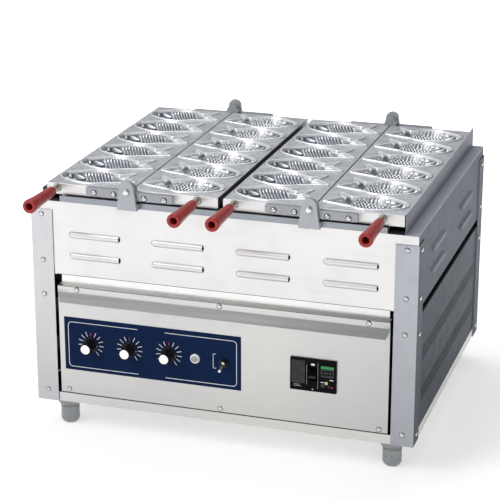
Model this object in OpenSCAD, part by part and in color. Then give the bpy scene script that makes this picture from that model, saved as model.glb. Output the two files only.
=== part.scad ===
// Electric taiyaki maker: two pairs of folding fish moulds over a louvred
// stainless cabinet with a control box below.
// Millimetres. X runs to the right, Y to the back, Z up.
// The modules draw the machine with Y = 0 at the front of the corner posts and
// Z = 0 under the base pan; place() then sets it on its feet, centred.

/* [Cabinet] */
// Width over the corner posts
cabinet_w = 760; // [740:1:800]
// Depth over the corner posts
cabinet_d = 630; // [610:1:680]
// Height from the base pan to the top flange
cabinet_h = 414; // [400:1:440]
// Thickness of the casing sheet
sheet = 1.5; // [1:0.1:2]
// Height of the control box
box_h = 250.5; // [238:0.5:260]
// Air gap between the control box and the upper casing
air_gap = 16.5; // [10:0.5:24]
// Width of the flange that frames the top opening
top_flange = 24; // [20:1:30]
// Width of the small returns folded inward at sheet edges
fold = 10; // [8:1:11]

/* [Posts] */
// Width of each leg of a corner post
post_w = 44; // [36:1:50]
// Thickness of a corner post
post_t = 2; // [1.5:0.1:3]
// Distance from the top of a post to the top of the cabinet
post_drop = 17.5; // [12:0.5:24]
// Distance of the post screws from the edges of the panels that they hold
screw_margin = 27; // [20:0.5:34]
// Difference in height between side and front screws
side_screw_drop = 4; // [0:1:8]
// Radius of a casing screw's head
screw_head_r = 4.6; // [4:0.1:5.5]
// Radius of a casing screw's shank
screw_shank_r = 2.5; // [2:0.1:3]

/* [Louvres] */
// Length of one louvre
louvre_l = 103; // [80:1:120]
// Height of one louvre
louvre_h = 13.5; // [10:0.5:16]
// How far a louvre is pressed out
louvre_d = 5; // [4:0.5:6]
// Distance between louvre columns on the front and back
louvre_pitch = 168; // [150:1:175]
// Distance of the side louvres' middles from the front and back
side_louvre_inset = 182; // [160:1:200]
// Distance between the two louvre rows
louvre_row = 42.5; // [30:0.5:46]
// Distance of the upper louvre row below the top of the cabinet
louvre_drop = 64.5; // [56:0.5:70]

/* [Side grilles] */
// Radius of a ventilation hole
vent_r = 3.2; // [2:0.1:4]
// Distance of the perforated strips from the posts
vent_margin = 20; // [12:1:40]
// Holes in one row
vent_cols = 45; // [20:1:46]
// Rows of holes in one strip
vent_rows = 3; // [2:1:3]
// Heights of the two perforated strips
vent_z = [81, 164.5];

/* [Visor] */
// Height of the screwed band under the ledge
visor_band = 13.5; // [11:0.5:18]
// Drop of the flared lip
visor_drop = 19; // [12:0.5:24]
// How far the lip flares out
visor_flare = 8; // [4:1:14]
// How much shorter the lip is at each end
visor_cut = 6.5; // [0:0.5:12]

/* [Cable gland] */
// Distance of the gland from the left side of the cabinet
gland_inset = 130; // [100:5:200]
// Height of the gland's axis above the base pan
gland_z = 60; // [40:1:100]
// Radius of the gland's hole
gland_r = 12; // [10:0.5:14]

/* [Controls] */
// Distance of the control plate from the panel's left edge
ctl_plate_inset = 10.5; // [8:0.5:14]
// Width of the control plate
ctl_plate_w = 362; // [355:1:370]
// Height of the control plate
ctl_plate_h = 110; // [100:1:116]
// Height of the control plate's middle
ctl_z = 125.5; // [118:0.5:132]
// Distance of the first dial from the plate's left edge
dial_inset = 55.5; // [50:0.5:60]
// Distance between dials
dial_pitch = 80.6; // [70:0.1:84]
// Radius of a knob at the panel
knob_r = 15; // [12:0.5:18]
// Radius of a knob's front face
knob_tip_r = 10.5; // [8:0.5:12]
// Length of a knob
knob_l = 30; // [22:1:34]
// Distance of the pilot lamp from the plate's right edge
lamp_inset = 92; // [86:1:96]
// Radius of the pilot lamp's bezel
lamp_r = 9.8; // [8:0.1:11]
// Distance of the toggle switch from the plate's right edge
toggle_inset = 34; // [30:1:40]
// Radius of the toggle switch's bush
toggle_r = 7; // [6:0.5:8]
// Angle of the toggle lever below the straight-out position
toggle_tilt = 17; // [10:1:20]
// Distance of the breaker's middle from the panel's right edge
breaker_inset = 144.5; // [130:0.5:160]
// Height of the breaker's middle
breaker_z = 122; // [104:0.5:136]
// Width of the breaker
breaker_w = 90; // [80:1:100]
// Height of the breaker
breaker_h = 65; // [58:1:72]
// How far the breaker stands out of the panel
breaker_proud = 4; // [3:0.5:6]

/* [Feet] */
// Height of the feet, with the adjusters wound in
foot_h = 59; // [52:1:66]
// Distance of a foot's axis from the side of the cabinet
foot_inset_x = 49; // [46:1:60]
// Distance of a foot's axis from the front or back
foot_inset_y = 43; // [40:1:55]
// Radius of a foot's collar
collar_r = 24; // [22:0.5:27]
// Height of a foot's collar
collar_h = 21; // [17:1:25]
// Radius of a foot's body
foot_r = 18.5; // [16:0.5:20]
// Radius of the adjuster's stem
stem_r = 8; // [6:0.5:9]
// Length of the adjuster's stem
stem_l = 30; // [24:1:34]

/* [Mould plates] */
// Distance of the plates from the front and back of the cabinet
plate_inset = 11; // [10:0.5:14]
// Thickness of a plate over its skirt
plate_t = 24; // [22:0.5:26]
// Thickness of the web between the moulds
web_t = 7; // [5:0.5:9]
// Thickness of the skirt
skirt_t = 6; // [5:0.5:8]
// Height of the plates' upper faces above the cabinet
plate_lift = 36; // [34:0.5:42]
// Gap between a plate's face and the hinge axis
face_gap = 0.3; // [0.2:0.05:0.5]
// Gap between a plate's inner edge and the hinge line
edge_gap = 0.8; // [0.6:0.1:1.5]
// Half the gap between the two pairs
pair_gap = 5.2; // [4:0.1:8]

/* [Fish moulds] */
// Moulds on one plate
fish_n = 6; // [4:1:6]
// Margin between the end moulds' fields and the plate's ends
end_gap = 10; // [9:0.5:14]
// Margin between the snout and the plate's outer edge
snout_gap = 8; // [7:0.5:10]
// Margin between the tail and the hinge line
tail_gap = 10; // [9:0.5:14]
// Width of the raised rim round a mould
rim_w = 4; // [3:0.5:4.5]
// Height of the raised rim
rim_h = 2.5; // [1.5:0.5:3]
// Depth of the fins and tail
fin_depth = 5; // [3:0.5:6]
// Slope of the mould's wall, as a width
draft = 1.6; // [1:0.2:2]
// Metal left round a mould on the underside
bulge_wall = 5; // [4:0.5:6]

/* [Hinges] */
// Thickness of a strap, and of a bracket's ear
strap_t = 8; // [7:0.5:9]
// Running gap between hinge layers
layer_gap = 0.6; // [0.3:0.1:1]
// Reach of a strap from the hinge line
strap_l = 89; // [84:1:96]
// Height of a strap
strap_h = 16.5; // [15:0.5:17]
// Distance of a strap's upper edge below the hinge axis
strap_drop = 2; // [1.5:0.1:2.5]
// Radius of a strap's eye
eye_r = 13; // [11:0.5:14]
// Radius of the hinge pins
pin_r = 5; // [4:0.5:6]
// Rim of a hinge pin's head round the pin
pin_rim = 1.4; // [1:0.1:3]
// Radial running clearance of a hinge pin
pin_clear = 0.05; // [0.03:0.01:0.1]
// Distances of the strap bolts from the hinge line
bolt_reach = [32, 72];
// Radius of a strap bolt
bolt_r = 3; // [2.5:0.5:4]
// Radius of a strap bolt's head
bolt_head_r = 5; // [4.5:0.5:6]
// Depth of a strap bolt in the plate
bolt_bite = 10; // [8:1:14]
// Half width of a bracket's base
bracket_half = 20.5; // [18:0.5:24]
// Radius of a bracket's rounded top
bracket_top_r = 14; // [12:0.5:15]
// Distance of the rounded top's middle above the hinge axis
bracket_rise = 8; // [6:0.5:10]

/* [Handles] */
// Distance of the left plates' handles from the outer edge
handle_edge = 22; // [20:0.5:24]
// Extra distance of the right plates' handles from the edge
handle_shift = 18; // [17:0.5:22]
// Distance of the handles below the hinge axis
handle_drop = 11; // [10.5:0.5:12]
// Distance of a grip's outer end from the front of the cabinet
grip_reach = 120; // [100:1:140]
// Length of a grip
grip_l = 106; // [80:1:110]
// Radius of a grip's outer end
grip_r = 13.3; // [11:0.1:13.5]
// Radius of a grip's inner end
grip_root_r = 9.5; // [8:0.5:11]
// Radius of the hole in a grip's outer end
grip_hole_r = 7; // [6:0.5:8]
// Radius of a handle rod
rod_r = 5; // [4:0.5:6]

/* [Rails and guards] */
// Width of a rail
rail_w = 16; // [14:1:18]
// Distance of a rail's ends from the posts
rail_inset = 16; // [8:1:30]
// Height of the right side guard
guard_h = 40.5; // [37:0.5:50]
// Height of the left side guard, which the plates hide
left_guard_h = 26; // [20:0.5:34]
// Distance of the guards' inner faces from the side panels' faces
guard_inset = 24.8; // [20:0.1:30]
// Gap between the outer plates and the guards
guard_gap = 4; // [3:0.5:6]

/* [Heaters] */
// Radius of a heater tube
heater_r = 4; // [3:0.5:5]
// Distance between the two legs of a heater
heater_span = 70; // [50:1:72]
// Distance of a heater's ends from the front and back
heater_inset = 60; // [50:1:80]

/* [Hidden] */
$fn = 48;
// Extra length that carries a cut past a face
cut = 1;
// Clearance of a screw or bolt in its hole
hole_clear = 0.1;
// Gap left between pieces that rest on each other without being fixed
rest_gap = 0.3;

panel_half = cabinet_w / 2 - post_t;
vent_pitch = (cabinet_d - 2 * post_w - 2 * vent_margin) / (vent_cols + 1);
vent_row = vent_pitch * 0.87;
panel_back = cabinet_d - post_t;
upper_z = box_h + air_gap;
post_h = cabinet_h - post_drop;
screw_z = [cabinet_h - screw_margin, upper_z + screw_margin, box_h - screw_margin, screw_margin - side_screw_drop];
front_half = cabinet_w / 2 - post_w - 6;

parting_z = cabinet_h + plate_lift;
rail_h = plate_lift - plate_t - rest_gap;
rail_half = cabinet_w / 2 - post_w - rail_inset;
axis_z = parting_z + face_gap;
plate_w = (panel_half - guard_inset - guard_gap - pair_gap) / 2;
plate_d = cabinet_d - 2 * plate_inset;
plate_y = plate_inset;
pair_x = pair_gap + plate_w;
rim_z = parting_z - rim_h;

// The visor hooks behind the fold of the upper casing and lies on the panel
visor_y = post_t - sheet;
visor_back = post_t + 2 * sheet + fold;
visor_z = box_h - 5.7;
band_z = visor_z - visor_band;
visor_screw_z = visor_z - visor_band / 2;
panel_bottom = 21;
panel_top = visor_z - 2.5;
panel_screw_z = panel_bottom + 6.5;
panel_screw_x = front_half - 17;
visor_screw_x = front_half - 40;

// Hinge layers, measured towards the viewer from the plates' front face
left_strap_y = plate_y - strap_t;
right_strap_y = left_strap_y - layer_gap - strap_t;
ear_y = right_strap_y - layer_gap - strap_t;
spacer_l = strap_t + layer_gap;
pin_head_h = 5;
bolt_head_h = 4;
bolt_z = axis_z - strap_drop - strap_h * 0.61;

handle_far = plate_w - handle_edge;
handle_near = handle_far - handle_shift;
handle_z = axis_z - handle_drop;
rod_bite = 20;
grip_mouth = 30;

front_reach = grip_reach;
back_reach = cabinet_d - ear_y + pin_head_h;
middle_y = (back_reach - front_reach) / 2;

plate_left = ctl_plate_inset - front_half;
breaker_x = front_half - breaker_inset;
dial_x = [for (i = [0:2]) plate_left + dial_inset + i * dial_pitch];
lamp_x = plate_left + ctl_plate_w - lamp_inset;
toggle_x = plate_left + ctl_plate_w - toggle_inset;
ctl_plate_t = 1;
dial_z = ctl_z + 3;
regulator_half = 22;
regulator_l = 30;
breaker_rim = 4.3;
breaker_back = 58;
cutout_w = breaker_w - 2 * breaker_rim + 0.6;
cutout_h = breaker_h - 2 * breaker_rim + 0.6;
tray_h = 18;
shaft_r = 3;
knob_gap = 0.4;
off_turn = 150;
foot_x = cabinet_w / 2 - foot_inset_x;

// Fish stations: distance from the snout, edge of the back and belly with
// their fins, edge of the back and belly of the body, depth of the body.
fish_base = 154;
fish_l = plate_w - snout_gap - tail_gap;
fish_pitch = (plate_d - 2 * end_gap) / fish_n;
FISH = [
    [0, 6, -7, 3, -4, 5.5],
    [5, 14, -14, 10, -11, 9],
    [13, 21, -22, 18, -18, 12.5],
    [24, 29, -29, 25, -25, 15.5],
    [36, 36, -35, 30, -30, 17],
    [48, 42, -39, 33, -32, 17.5],
    [60, 44, -41, 33, -32, 17.5],
    [74, 43, -42, 31, -31, 17],
    [88, 37, -38, 26, -27, 15.5],
    [100, 29, -31, 20, -21, 13],
    [112, 24, -27, 14, -15, 10.5],
    [122, 27, -24, 11, -12, 8.5],
    [132, 32, -21, 9, -11, 7],
    [143, 38, -18, 8, -10, 6],
    [154, 43, -14, 7, -9, 5.5]];
fish_steps = 24;
tail_root = 105 / fish_base;
tail_upper = 18;
tail_notch = 28;

// A value between four neighbours, on a smooth curve
function curve(a, b, c, d, t) =
    b + 0.5 * t * (c - a + t * (2 * a - 5 * b + 4 * c - d + t * (3 * (b - c) + d - a)));
function station_row(i) = FISH[max(0, min(len(FISH) - 1, i))];
function station_index(s, i = 0) =
    i >= len(FISH) - 2 || FISH[i + 1][0] >= s ? i : station_index(s, i + 1);
function fish_value(s, col) =
    let (i = station_index(s), t = (s - FISH[i][0]) / (FISH[i + 1][0] - FISH[i][0]))
    curve(station_row(i - 1)[col], FISH[i][col], FISH[i + 1][col], station_row(i + 2)[col], t);
fish_k = fish_l / fish_base;
// Shift of a point towards the snout, which forks the tail: none at the lower
// lobe's tip, most in the middle, and less again at the upper lobe's tip
function tail_shift(part, across, top, low) =
    let (mid = (top + low) / 2, grown = max(0, (part - tail_root) / (1 - tail_root)),
        raised = (across - mid) / (top - mid), sunk = (mid - across) / (mid - low))
    grown * fish_k * (across > mid ? tail_notch + (tail_upper - tail_notch) * raised : tail_notch * (1 - sunk));
function fish_point(part, across, z) =
    let (top = fish_value(part * fish_base, 1) * fish_k, low = fish_value(part * fish_base, 2) * fish_k)
    [part * fish_l - tail_shift(part, across, top, low), across, z];
// One ring of the mould's hollow, from the back edge down and round to the
// belly edge, and last the middle of its mouth
function fish_ring(part) =
    let (s = part * fish_base, top = fish_value(s, 1) * fish_k, low = fish_value(s, 2) * fish_k,
        back = fish_value(s, 3) * fish_k, belly = fish_value(s, 4) * fish_k,
        deep = max(fish_value(s, 5), fin_depth + 0.1), mid = (back + belly) / 2)
    [fish_point(part, top, cut), fish_point(part, top - draft, -fin_depth),
        fish_point(part, back, -fin_depth), fish_point(part, (back + mid) / 2, -deep * 0.84 - fin_depth * 0.16),
        fish_point(part, mid, -deep), fish_point(part, (belly + mid) / 2, -deep * 0.84 - fin_depth * 0.16),
        fish_point(part, belly, -fin_depth), fish_point(part, low + draft, -fin_depth),
        fish_point(part, low, cut), fish_point(part, (top + low) / 2, cut)];
ring_n = 10;
FISH_RINGS = [for (i = [0:fish_steps]) fish_ring(i / fish_steps)];
FISH_POINTS = [for (ring = FISH_RINGS) for (p = ring) p];
FISH_FACES = concat(
    [for (i = [0:fish_steps - 1]) for (k = [0:ring_n - 1]) let (n = (k + 1) % ring_n, a = i * ring_n)
        each [[a + k, a + n, a + ring_n + k], [a + n, a + ring_n + n, a + ring_n + k]]],
    [for (k = [0:ring_n - 3]) [ring_n - 1, k + 1, k]],
    [for (k = [0:ring_n - 3]) let (a = fish_steps * ring_n) [a + ring_n - 1, a + k, a + k + 1]]);
// Outline of the mould at its mouth, round from the snout along the back
FISH_EDGE = concat(
    [for (i = [0:fish_steps]) let (p = FISH_RINGS[i][0]) [p.x, p.y]],
    [let (p = FISH_RINGS[fish_steps][ring_n - 1]) [p.x, p.y]],
    [for (i = [fish_steps:-1:0]) let (p = FISH_RINGS[i][ring_n - 2]) [p.x, p.y]]);
function unit2(v) = v / max(norm(v), 0.001);
// A closed outline moved outward by a width, with mitred corners
function widened(path, width) = [for (i = [0:len(path) - 1])
    let (n = len(path), before = unit2(path[i] - path[(i + n - 1) % n]), after = unit2(path[(i + 1) % n] - path[i]),
        side = unit2([-before.y - after.y, before.x + after.x]),
        reach = max(0.7, side * [-after.y, after.x]))
    path[i] + side * width / reach];

module place() {
    translate([0, -middle_y, foot_h]) children();
}

module steel(tone = 0.8) {
    color([tone, tone, tone * 1.01]) place() children();
}

// Repeats what faces the front at the back, turned round
module front_and_back() {
    children();
    translate([0, cabinet_d, 0]) mirror([0, 1, 0]) children();
}

module slab(x0, x1, y0, y1, z0, z1) {
    translate([x0, y0, z0]) cube([x1 - x0, y1 - y0, z1 - z0]);
}

// A rod along Y from y0 to y1
module rod_y(x, y0, y1, z, r) {
    translate([x, y0, z]) rotate([-90, 0, 0]) cylinder(r = r, h = y1 - y0);
}

// Half round bar with one ball end, from which a louvre is cut
module louvre_form(r, extra = 0) {
    reach = louvre_h / 2;
    back = (reach * reach - louvre_d * louvre_d) / (2 * louvre_d);
    translate([-louvre_l / 2 + reach, back, 0]) {
        rotate([0, 90, 0]) cylinder(r = r, h = louvre_l - reach + extra);
        sphere(r = r);
    }
}

// A louvred wall of the upper casing, facing the front, middle at x = 0
module louvred_wall(half, columns, pitch, flange, ends) {
    reach = louvre_h / 2;
    louvre_r = (reach * reach + louvre_d * louvre_d) / (2 * louvre_d);
    difference() {
        union() {
            slab(-half, half, 0, sheet, upper_z, cabinet_h);
            slab(-half + ends, half - ends, 0, flange, cabinet_h - sheet, cabinet_h);
            slab(-half + ends, half - ends, 0, sheet + fold, upper_z, upper_z + sheet);
            louvre_places(columns, pitch) intersection() {
                louvre_form(louvre_r);
                slab(-louvre_l, louvre_l, -louvre_h, sheet / 2, -louvre_h, louvre_h);
            }
        }
        louvre_places(columns, pitch) louvre_form(louvre_r - sheet * 0.8, cut);
    }
}

module louvre_places(columns, pitch) {
    for (c = [0:columns - 1], row = [0:1])
        translate([(c - (columns - 1) / 2) * pitch, 0, cabinet_h - louvre_drop - row * louvre_row]) children();
}

module front_wall() {
    translate([0, post_t, 0]) louvred_wall(panel_half, 4, louvre_pitch, top_flange, sheet);
}

module side_wall() {
    length = (panel_back - post_t) / 2 - sheet;
    translate([panel_half, cabinet_d / 2, 0]) rotate(90)
        louvred_wall(length, 2, cabinet_d - 2 * side_louvre_inset, top_flange, top_flange - sheet);
}

module front_louvre_panel() {
    steel(0.86) front_wall();
}

module rear_louvre_panel() {
    steel(0.82) translate([0, cabinet_d, 0]) mirror([0, 1, 0]) front_wall();
}

module left_upper_panel() {
    steel(0.78) mirror([1, 0, 0]) side_wall();
}

module right_upper_panel() {
    steel(0.78) side_wall();
}

// Places children at each screw of the right front post, facing the viewer
module front_screws() {
    for (z = screw_z)
        translate([cabinet_w / 2 - post_w / 2, 0, z]) rotate([-90, 0, 0]) children();
}

module side_screws() {
    for (z = screw_z)
        translate([cabinet_w / 2, post_w / 2, z - side_screw_drop]) rotate([0, -90, 0]) children();
}

module screw_hole(depth) {
    translate([0, 0, -cut]) cylinder(r = screw_shank_r + hole_clear, h = depth + 2 * cut);
}

module corner_post() {
    difference() {
        slab(cabinet_w / 2 - post_w, cabinet_w / 2, 0, post_w, 0, post_h);
        slab(0, panel_half, post_t, post_w + cut, -cut, post_h + cut);
        front_screws() screw_hole(post_t);
        side_screws() screw_hole(post_t);
    }
}

module post_front_right() {
    steel(0.84) corner_post();
}

module post_front_left() {
    steel(0.84) mirror([1, 0, 0]) corner_post();
}

module post_rear_right() {
    steel(0.8) translate([0, cabinet_d, 0]) mirror([0, 1, 0]) corner_post();
}

module post_rear_left() {
    steel(0.8) translate([0, cabinet_d, 0]) mirror([0, 1, 0]) mirror([1, 0, 0]) corner_post();
}

// Domed screw with its shank along +Z, through a depth of sheet
module casing_screw(depth) {
    dome = 2.4;
    ball = (screw_head_r * screw_head_r + dome * dome) / (2 * dome);
    intersection() {
        translate([0, 0, ball - dome]) sphere(r = ball);
        translate([0, 0, -dome - cut]) cylinder(r = screw_head_r + cut, h = dome + cut);
    }
    translate([0, 0, -cut]) cylinder(r = screw_shank_r, h = depth + cut);
}

module post_screws() {
    steel(0.7) front_and_back() for (side = [0, 1]) mirror([side, 0, 0]) {
        front_screws() casing_screw(post_t);
        side_screws() casing_screw(post_t);
    }
}

// Holes for the shafts, lamp, switch and breaker, through y0 to y1
module control_holes(y0, y1) {
    for (x = dial_x) rod_y(x, y0, y1, dial_z, shaft_r + 2);
    rod_y(lamp_x, y0, y1, ctl_z, lamp_r * 0.7 + hole_clear);
    rod_y(toggle_x, y0, y1, ctl_z - 1, toggle_r * 0.8 + hole_clear);
}

// Screws that hold the visor on the panel, and the panel on the base pan
module visor_screws() {
    for (x = [-visor_screw_x, 0, visor_screw_x])
        translate([x, visor_y, visor_screw_z]) rotate([-90, 0, 0]) children();
}

module base_screws() {
    for (x = [-panel_screw_x, 0, panel_screw_x])
        translate([x, post_t, panel_screw_z]) rotate([-90, 0, 0]) children();
}

module panel_screws() {
    steel(0.7) {
        visor_screws() casing_screw(2 * sheet);
        base_screws() casing_screw(2 * sheet);
    }
}

module control_panel() {
    steel(0.85) difference() {
        union() {
            slab(-front_half, front_half, post_t, post_t + sheet, panel_bottom, panel_top);
            for (side = [0, 1]) mirror([side, 0, 0])
                slab(front_half - sheet, front_half, post_t, post_t + fold, panel_bottom, panel_top);
        }
        control_holes(post_t - cut, post_t + sheet + cut);
        slab(breaker_x - cutout_w / 2, breaker_x + cutout_w / 2, 0, post_t + sheet + cut,
            breaker_z - cutout_h / 2, breaker_z + cutout_h / 2);
        visor_screws() screw_hole(2 * sheet);
        base_screws() screw_hole(2 * sheet);
    }
}

module control_plate() {
    color([0.07, 0.13, 0.32]) place() difference() {
        slab(plate_left, plate_left + ctl_plate_w, post_t - ctl_plate_t, post_t,
            ctl_z - ctl_plate_h / 2, ctl_z + ctl_plate_h / 2);
        control_holes(post_t - ctl_plate_t - cut, post_t + cut);
    }
}

// Folded section of the visor: neck, ledge, band and flared lip
module front_visor() {
    lip_z = band_z - visor_drop;
    section = [[visor_y, visor_z], [visor_y, band_z], [visor_y - visor_flare, lip_z],
        [visor_y - visor_flare + sheet, lip_z], [post_t, band_z - 0.2], [post_t, visor_z - sheet],
        [visor_back, visor_z - sheet], [visor_back, upper_z + sheet], [visor_back - sheet, upper_z + sheet],
        [visor_back - sheet, visor_z]];
    steel(0.87) difference() {
        rotate([90, 0, 90]) translate([0, 0, -front_half]) linear_extrude(2 * front_half) polygon(section);
        for (side = [0, 1]) mirror([side, 0, 0]) {
            translate([0, post_t, 0]) rotate([90, 0, 0]) linear_extrude(visor_flare + 3 * cut)
                polygon([[front_half + cut, band_z], [front_half, band_z], [front_half - visor_cut, lip_z - cut],
                    [front_half + cut, lip_z - cut]]);
            slab(front_half - 4, front_half + cut, post_t + cut, visor_back + cut,
                visor_z + cut, upper_z + 2 * sheet);
        }
        visor_screws() screw_hole(2 * sheet);
    }
}

// Place of one hole in a row; every second row is shifted by half a pitch
function vent_y(i, row) = cabinet_d / 2 + (i - (vent_cols - 1) / 2 + (row % 2) / 2 - 1 / 4) * vent_pitch;

// Side of the control box with its two perforated strips
module lower_side() {
    y0 = post_t + sheet;
    steel(0.76) difference() {
        union() {
            slab(panel_half - sheet, panel_half, y0, cabinet_d - y0, panel_bottom, box_h);
            slab(panel_half - fold, panel_half, post_w, cabinet_d - post_w, box_h - sheet, box_h);
        }
        for (z = vent_z, row = [0:vent_rows - 1], i = [0:vent_cols - 1])
            translate([panel_half - sheet - cut, vent_y(i, row), z + (row - (vent_rows - 1) / 2) * vent_row])
                rotate([0, 90, 0]) cylinder(r = vent_r, h = sheet + 2 * cut, $fn = 16);
    }
}

module right_lower_panel() {
    lower_side();
}

module left_lower_panel() {
    mirror([1, 0, 0]) lower_side();
}

gland_x = gland_inset - cabinet_w / 2;

module rear_lower_panel() {
    steel(0.8) difference() {
        union() {
            slab(-panel_half, panel_half, panel_back - sheet, panel_back, panel_bottom, box_h);
            slab(-panel_half + post_w, panel_half - post_w, panel_back - fold, panel_back, box_h - sheet, box_h);
        }
        rod_y(gland_x, panel_back - sheet - cut, panel_back + cut, gland_z, gland_r);
    }
}

// Cable gland in the back of the control box, bored for the supply lead
module cable_gland() {
    color([0.12, 0.12, 0.12]) place() translate([gland_x, panel_back, gland_z]) rotate([-90, 0, 0]) difference() {
        union() {
            translate([0, 0, -sheet - 8]) cylinder(r = gland_r - hole_clear, h = sheet + 8);
            cylinder(r = gland_r + 6, h = 5, $fn = 6);
            translate([0, 0, 5]) cylinder(r1 = gland_r + 2, r2 = gland_r - 3, h = 10);
        }
        translate([0, 0, -sheet - 8 - cut]) cylinder(r = 6, h = sheet + 23 + 3 * cut);
    }
}

// Pan with a lip all round and three tabs for the control panel's screws
module base_pan() {
    lip = panel_bottom - 2;
    tab_half = 10;
    steel(0.83) difference() {
        union() {
            difference() {
                slab(-panel_half, panel_half, post_t, panel_back, 0, lip);
                slab(-panel_half + sheet, panel_half - sheet, post_t + sheet, panel_back - sheet, sheet, lip + cut);
            }
            for (x = [-panel_screw_x, 0, panel_screw_x])
                slab(x - tab_half, x + tab_half, post_t + sheet, post_t + 2 * sheet, 0, panel_screw_z + tab_half);
        }
        feet() cylinder(r = stem_r + hole_clear * 2, h = 3 * cut + sheet, center = true);
        base_screws() screw_hole(2 * sheet);
    }
}

module heat_shield() {
    steel(0.6) slab(-panel_half + sheet, panel_half - sheet, visor_back + cut, panel_back - sheet - cut,
        box_h, box_h + sheet);
}

// Shallow pan on the inward folds of the upper casing
module drip_tray() {
    half = panel_half - sheet - 2;
    y0 = post_t + sheet + 2;
    z0 = upper_z + sheet;
    steel(0.65) difference() {
        slab(-half, half, y0, cabinet_d - y0, z0, z0 + tray_h);
        slab(-half + sheet, half - sheet, y0 + sheet, cabinet_d - y0 - sheet, z0 + sheet, z0 + tray_h + cut);
    }
}

module side_guard(high) {
    inner = pair_x + plate_w + guard_gap;
    slab(inner, inner + sheet, post_t, panel_back, cabinet_h, cabinet_h + high);
    slab(inner, panel_half, post_t, panel_back, cabinet_h, cabinet_h + sheet);
}

module right_guard() {
    steel(0.8) side_guard(guard_h);
}

module left_guard() {
    steel(0.8) mirror([1, 0, 0]) side_guard(left_guard_h);
}

// Channel on the top flange; its inner leg carries the plates
module plate_rail() {
    difference() {
        slab(-rail_half, rail_half, post_t, post_t + rail_w, cabinet_h, cabinet_h + rail_h);
        slab(-rail_half - cut, rail_half + cut, post_t + 2, post_t + rail_w - 2,
            cabinet_h + 2, cabinet_h + rail_h + cut);
    }
}

module front_rail() {
    steel(0.75) plate_rail();
}

module rear_rail() {
    steel(0.75) translate([0, cabinet_d, 0]) mirror([0, 1, 0]) plate_rail();
}

// Tapered ear with a foot that runs back to the rail
module hinge_bracket() {
    top_z = axis_z + bracket_rise;
    base_z = cabinet_h;
    difference() {
        union() {
            translate([0, ear_y + strap_t, 0]) rotate([90, 0, 0]) linear_extrude(strap_t)
                polygon([[-bracket_half, base_z], [bracket_half, base_z],
                    [bracket_top_r, top_z], [-bracket_top_r, top_z]]);
            rod_y(0, ear_y, ear_y + strap_t, top_z, bracket_top_r);
            slab(-bracket_half, bracket_half, ear_y + strap_t / 2, post_t, base_z, base_z + rail_h);
        }
        rod_y(0, ear_y - cut, ear_y + strap_t + cut, axis_z, pin_r + pin_clear);
    }
}

module brackets(x) {
    color([0.78, 0.78, 0.78]) place() front_and_back() translate([x, 0, 0]) hinge_bracket();
}

module hinge_brackets_left() {
    brackets(-pair_x);
}

module hinge_brackets_right() {
    brackets(pair_x);
}

module hinge_pins() {
    steel(0.72) front_and_back() for (x = [-pair_x, pair_x]) {
        rod_y(x, ear_y, plate_y - layer_gap, axis_z, pin_r);
        rod_y(x, ear_y - pin_head_h, ear_y, axis_z, pin_r + pin_rim);
    }
}

// The places below work on a right plate: u runs outward from the hinge line.
// Odd plates are left plates, drawn mirrored.
function hinge_x(n) = n < 3 ? -pair_x : pair_x;
function is_left(n) = n % 2 == 1;

module on_plate(n) {
    translate([hinge_x(n), 0, 0]) mirror([is_left(n) ? 1 : 0, 0, 0]) children();
}

module fish_places() {
    for (i = [0:fish_n - 1])
        translate([plate_w - snout_gap, cabinet_d / 2 + (i - (fish_n - 1) / 2) * fish_pitch - 2, 0])
            mirror([1, 0, 0]) children();
}

module fish_outline(width) {
    polygon(widened(FISH_EDGE, width));
}

module bolt_places() {
    for (u = bolt_reach) translate([u, 0, bolt_z]) children();
}

// Casting with six fish moulds, a skirt, and bosses where a right plate's
// straps stand off
module mould_plate(n) {
    bulge_low = plate_t - 3;
    color([0.82, 0.83, 0.85]) place() on_plate(n) difference() {
        union() {
            difference() {
                slab(edge_gap, plate_w, plate_y, plate_y + plate_d, parting_z - plate_t, rim_z);
                slab(edge_gap + skirt_t, plate_w - skirt_t, plate_y + skirt_t * 2, plate_y + plate_d - skirt_t * 2,
                    parting_z - plate_t - cut, rim_z - web_t);
            }
            fish_places() {
                translate([0, 0, rim_z - cut]) linear_extrude(rim_h + cut) fish_outline(rim_w);
                translate([0, 0, parting_z - bulge_low]) linear_extrude(bulge_low - rim_h - 1)
                    fish_outline(bulge_wall - 2);
            }
            if (!is_left(n)) front_and_back()
                slab(eye_r + 5, strap_l, plate_y - spacer_l, plate_y + cut,
                    axis_z - strap_drop - strap_h, axis_z - strap_drop - rim_h);
        }
        fish_places() translate([0, 0, parting_z]) polyhedron(points = FISH_POINTS, faces = FISH_FACES);
        front_and_back() bolt_places()
            rod_y(0, plate_y - spacer_l - cut, plate_y + bolt_bite, 0, bolt_r + hole_clear);
        rod_y(is_left(n) ? handle_far : handle_near, plate_y - cut, plate_y + rod_bite, handle_z, rod_r + hole_clear);
    }
}

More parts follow.
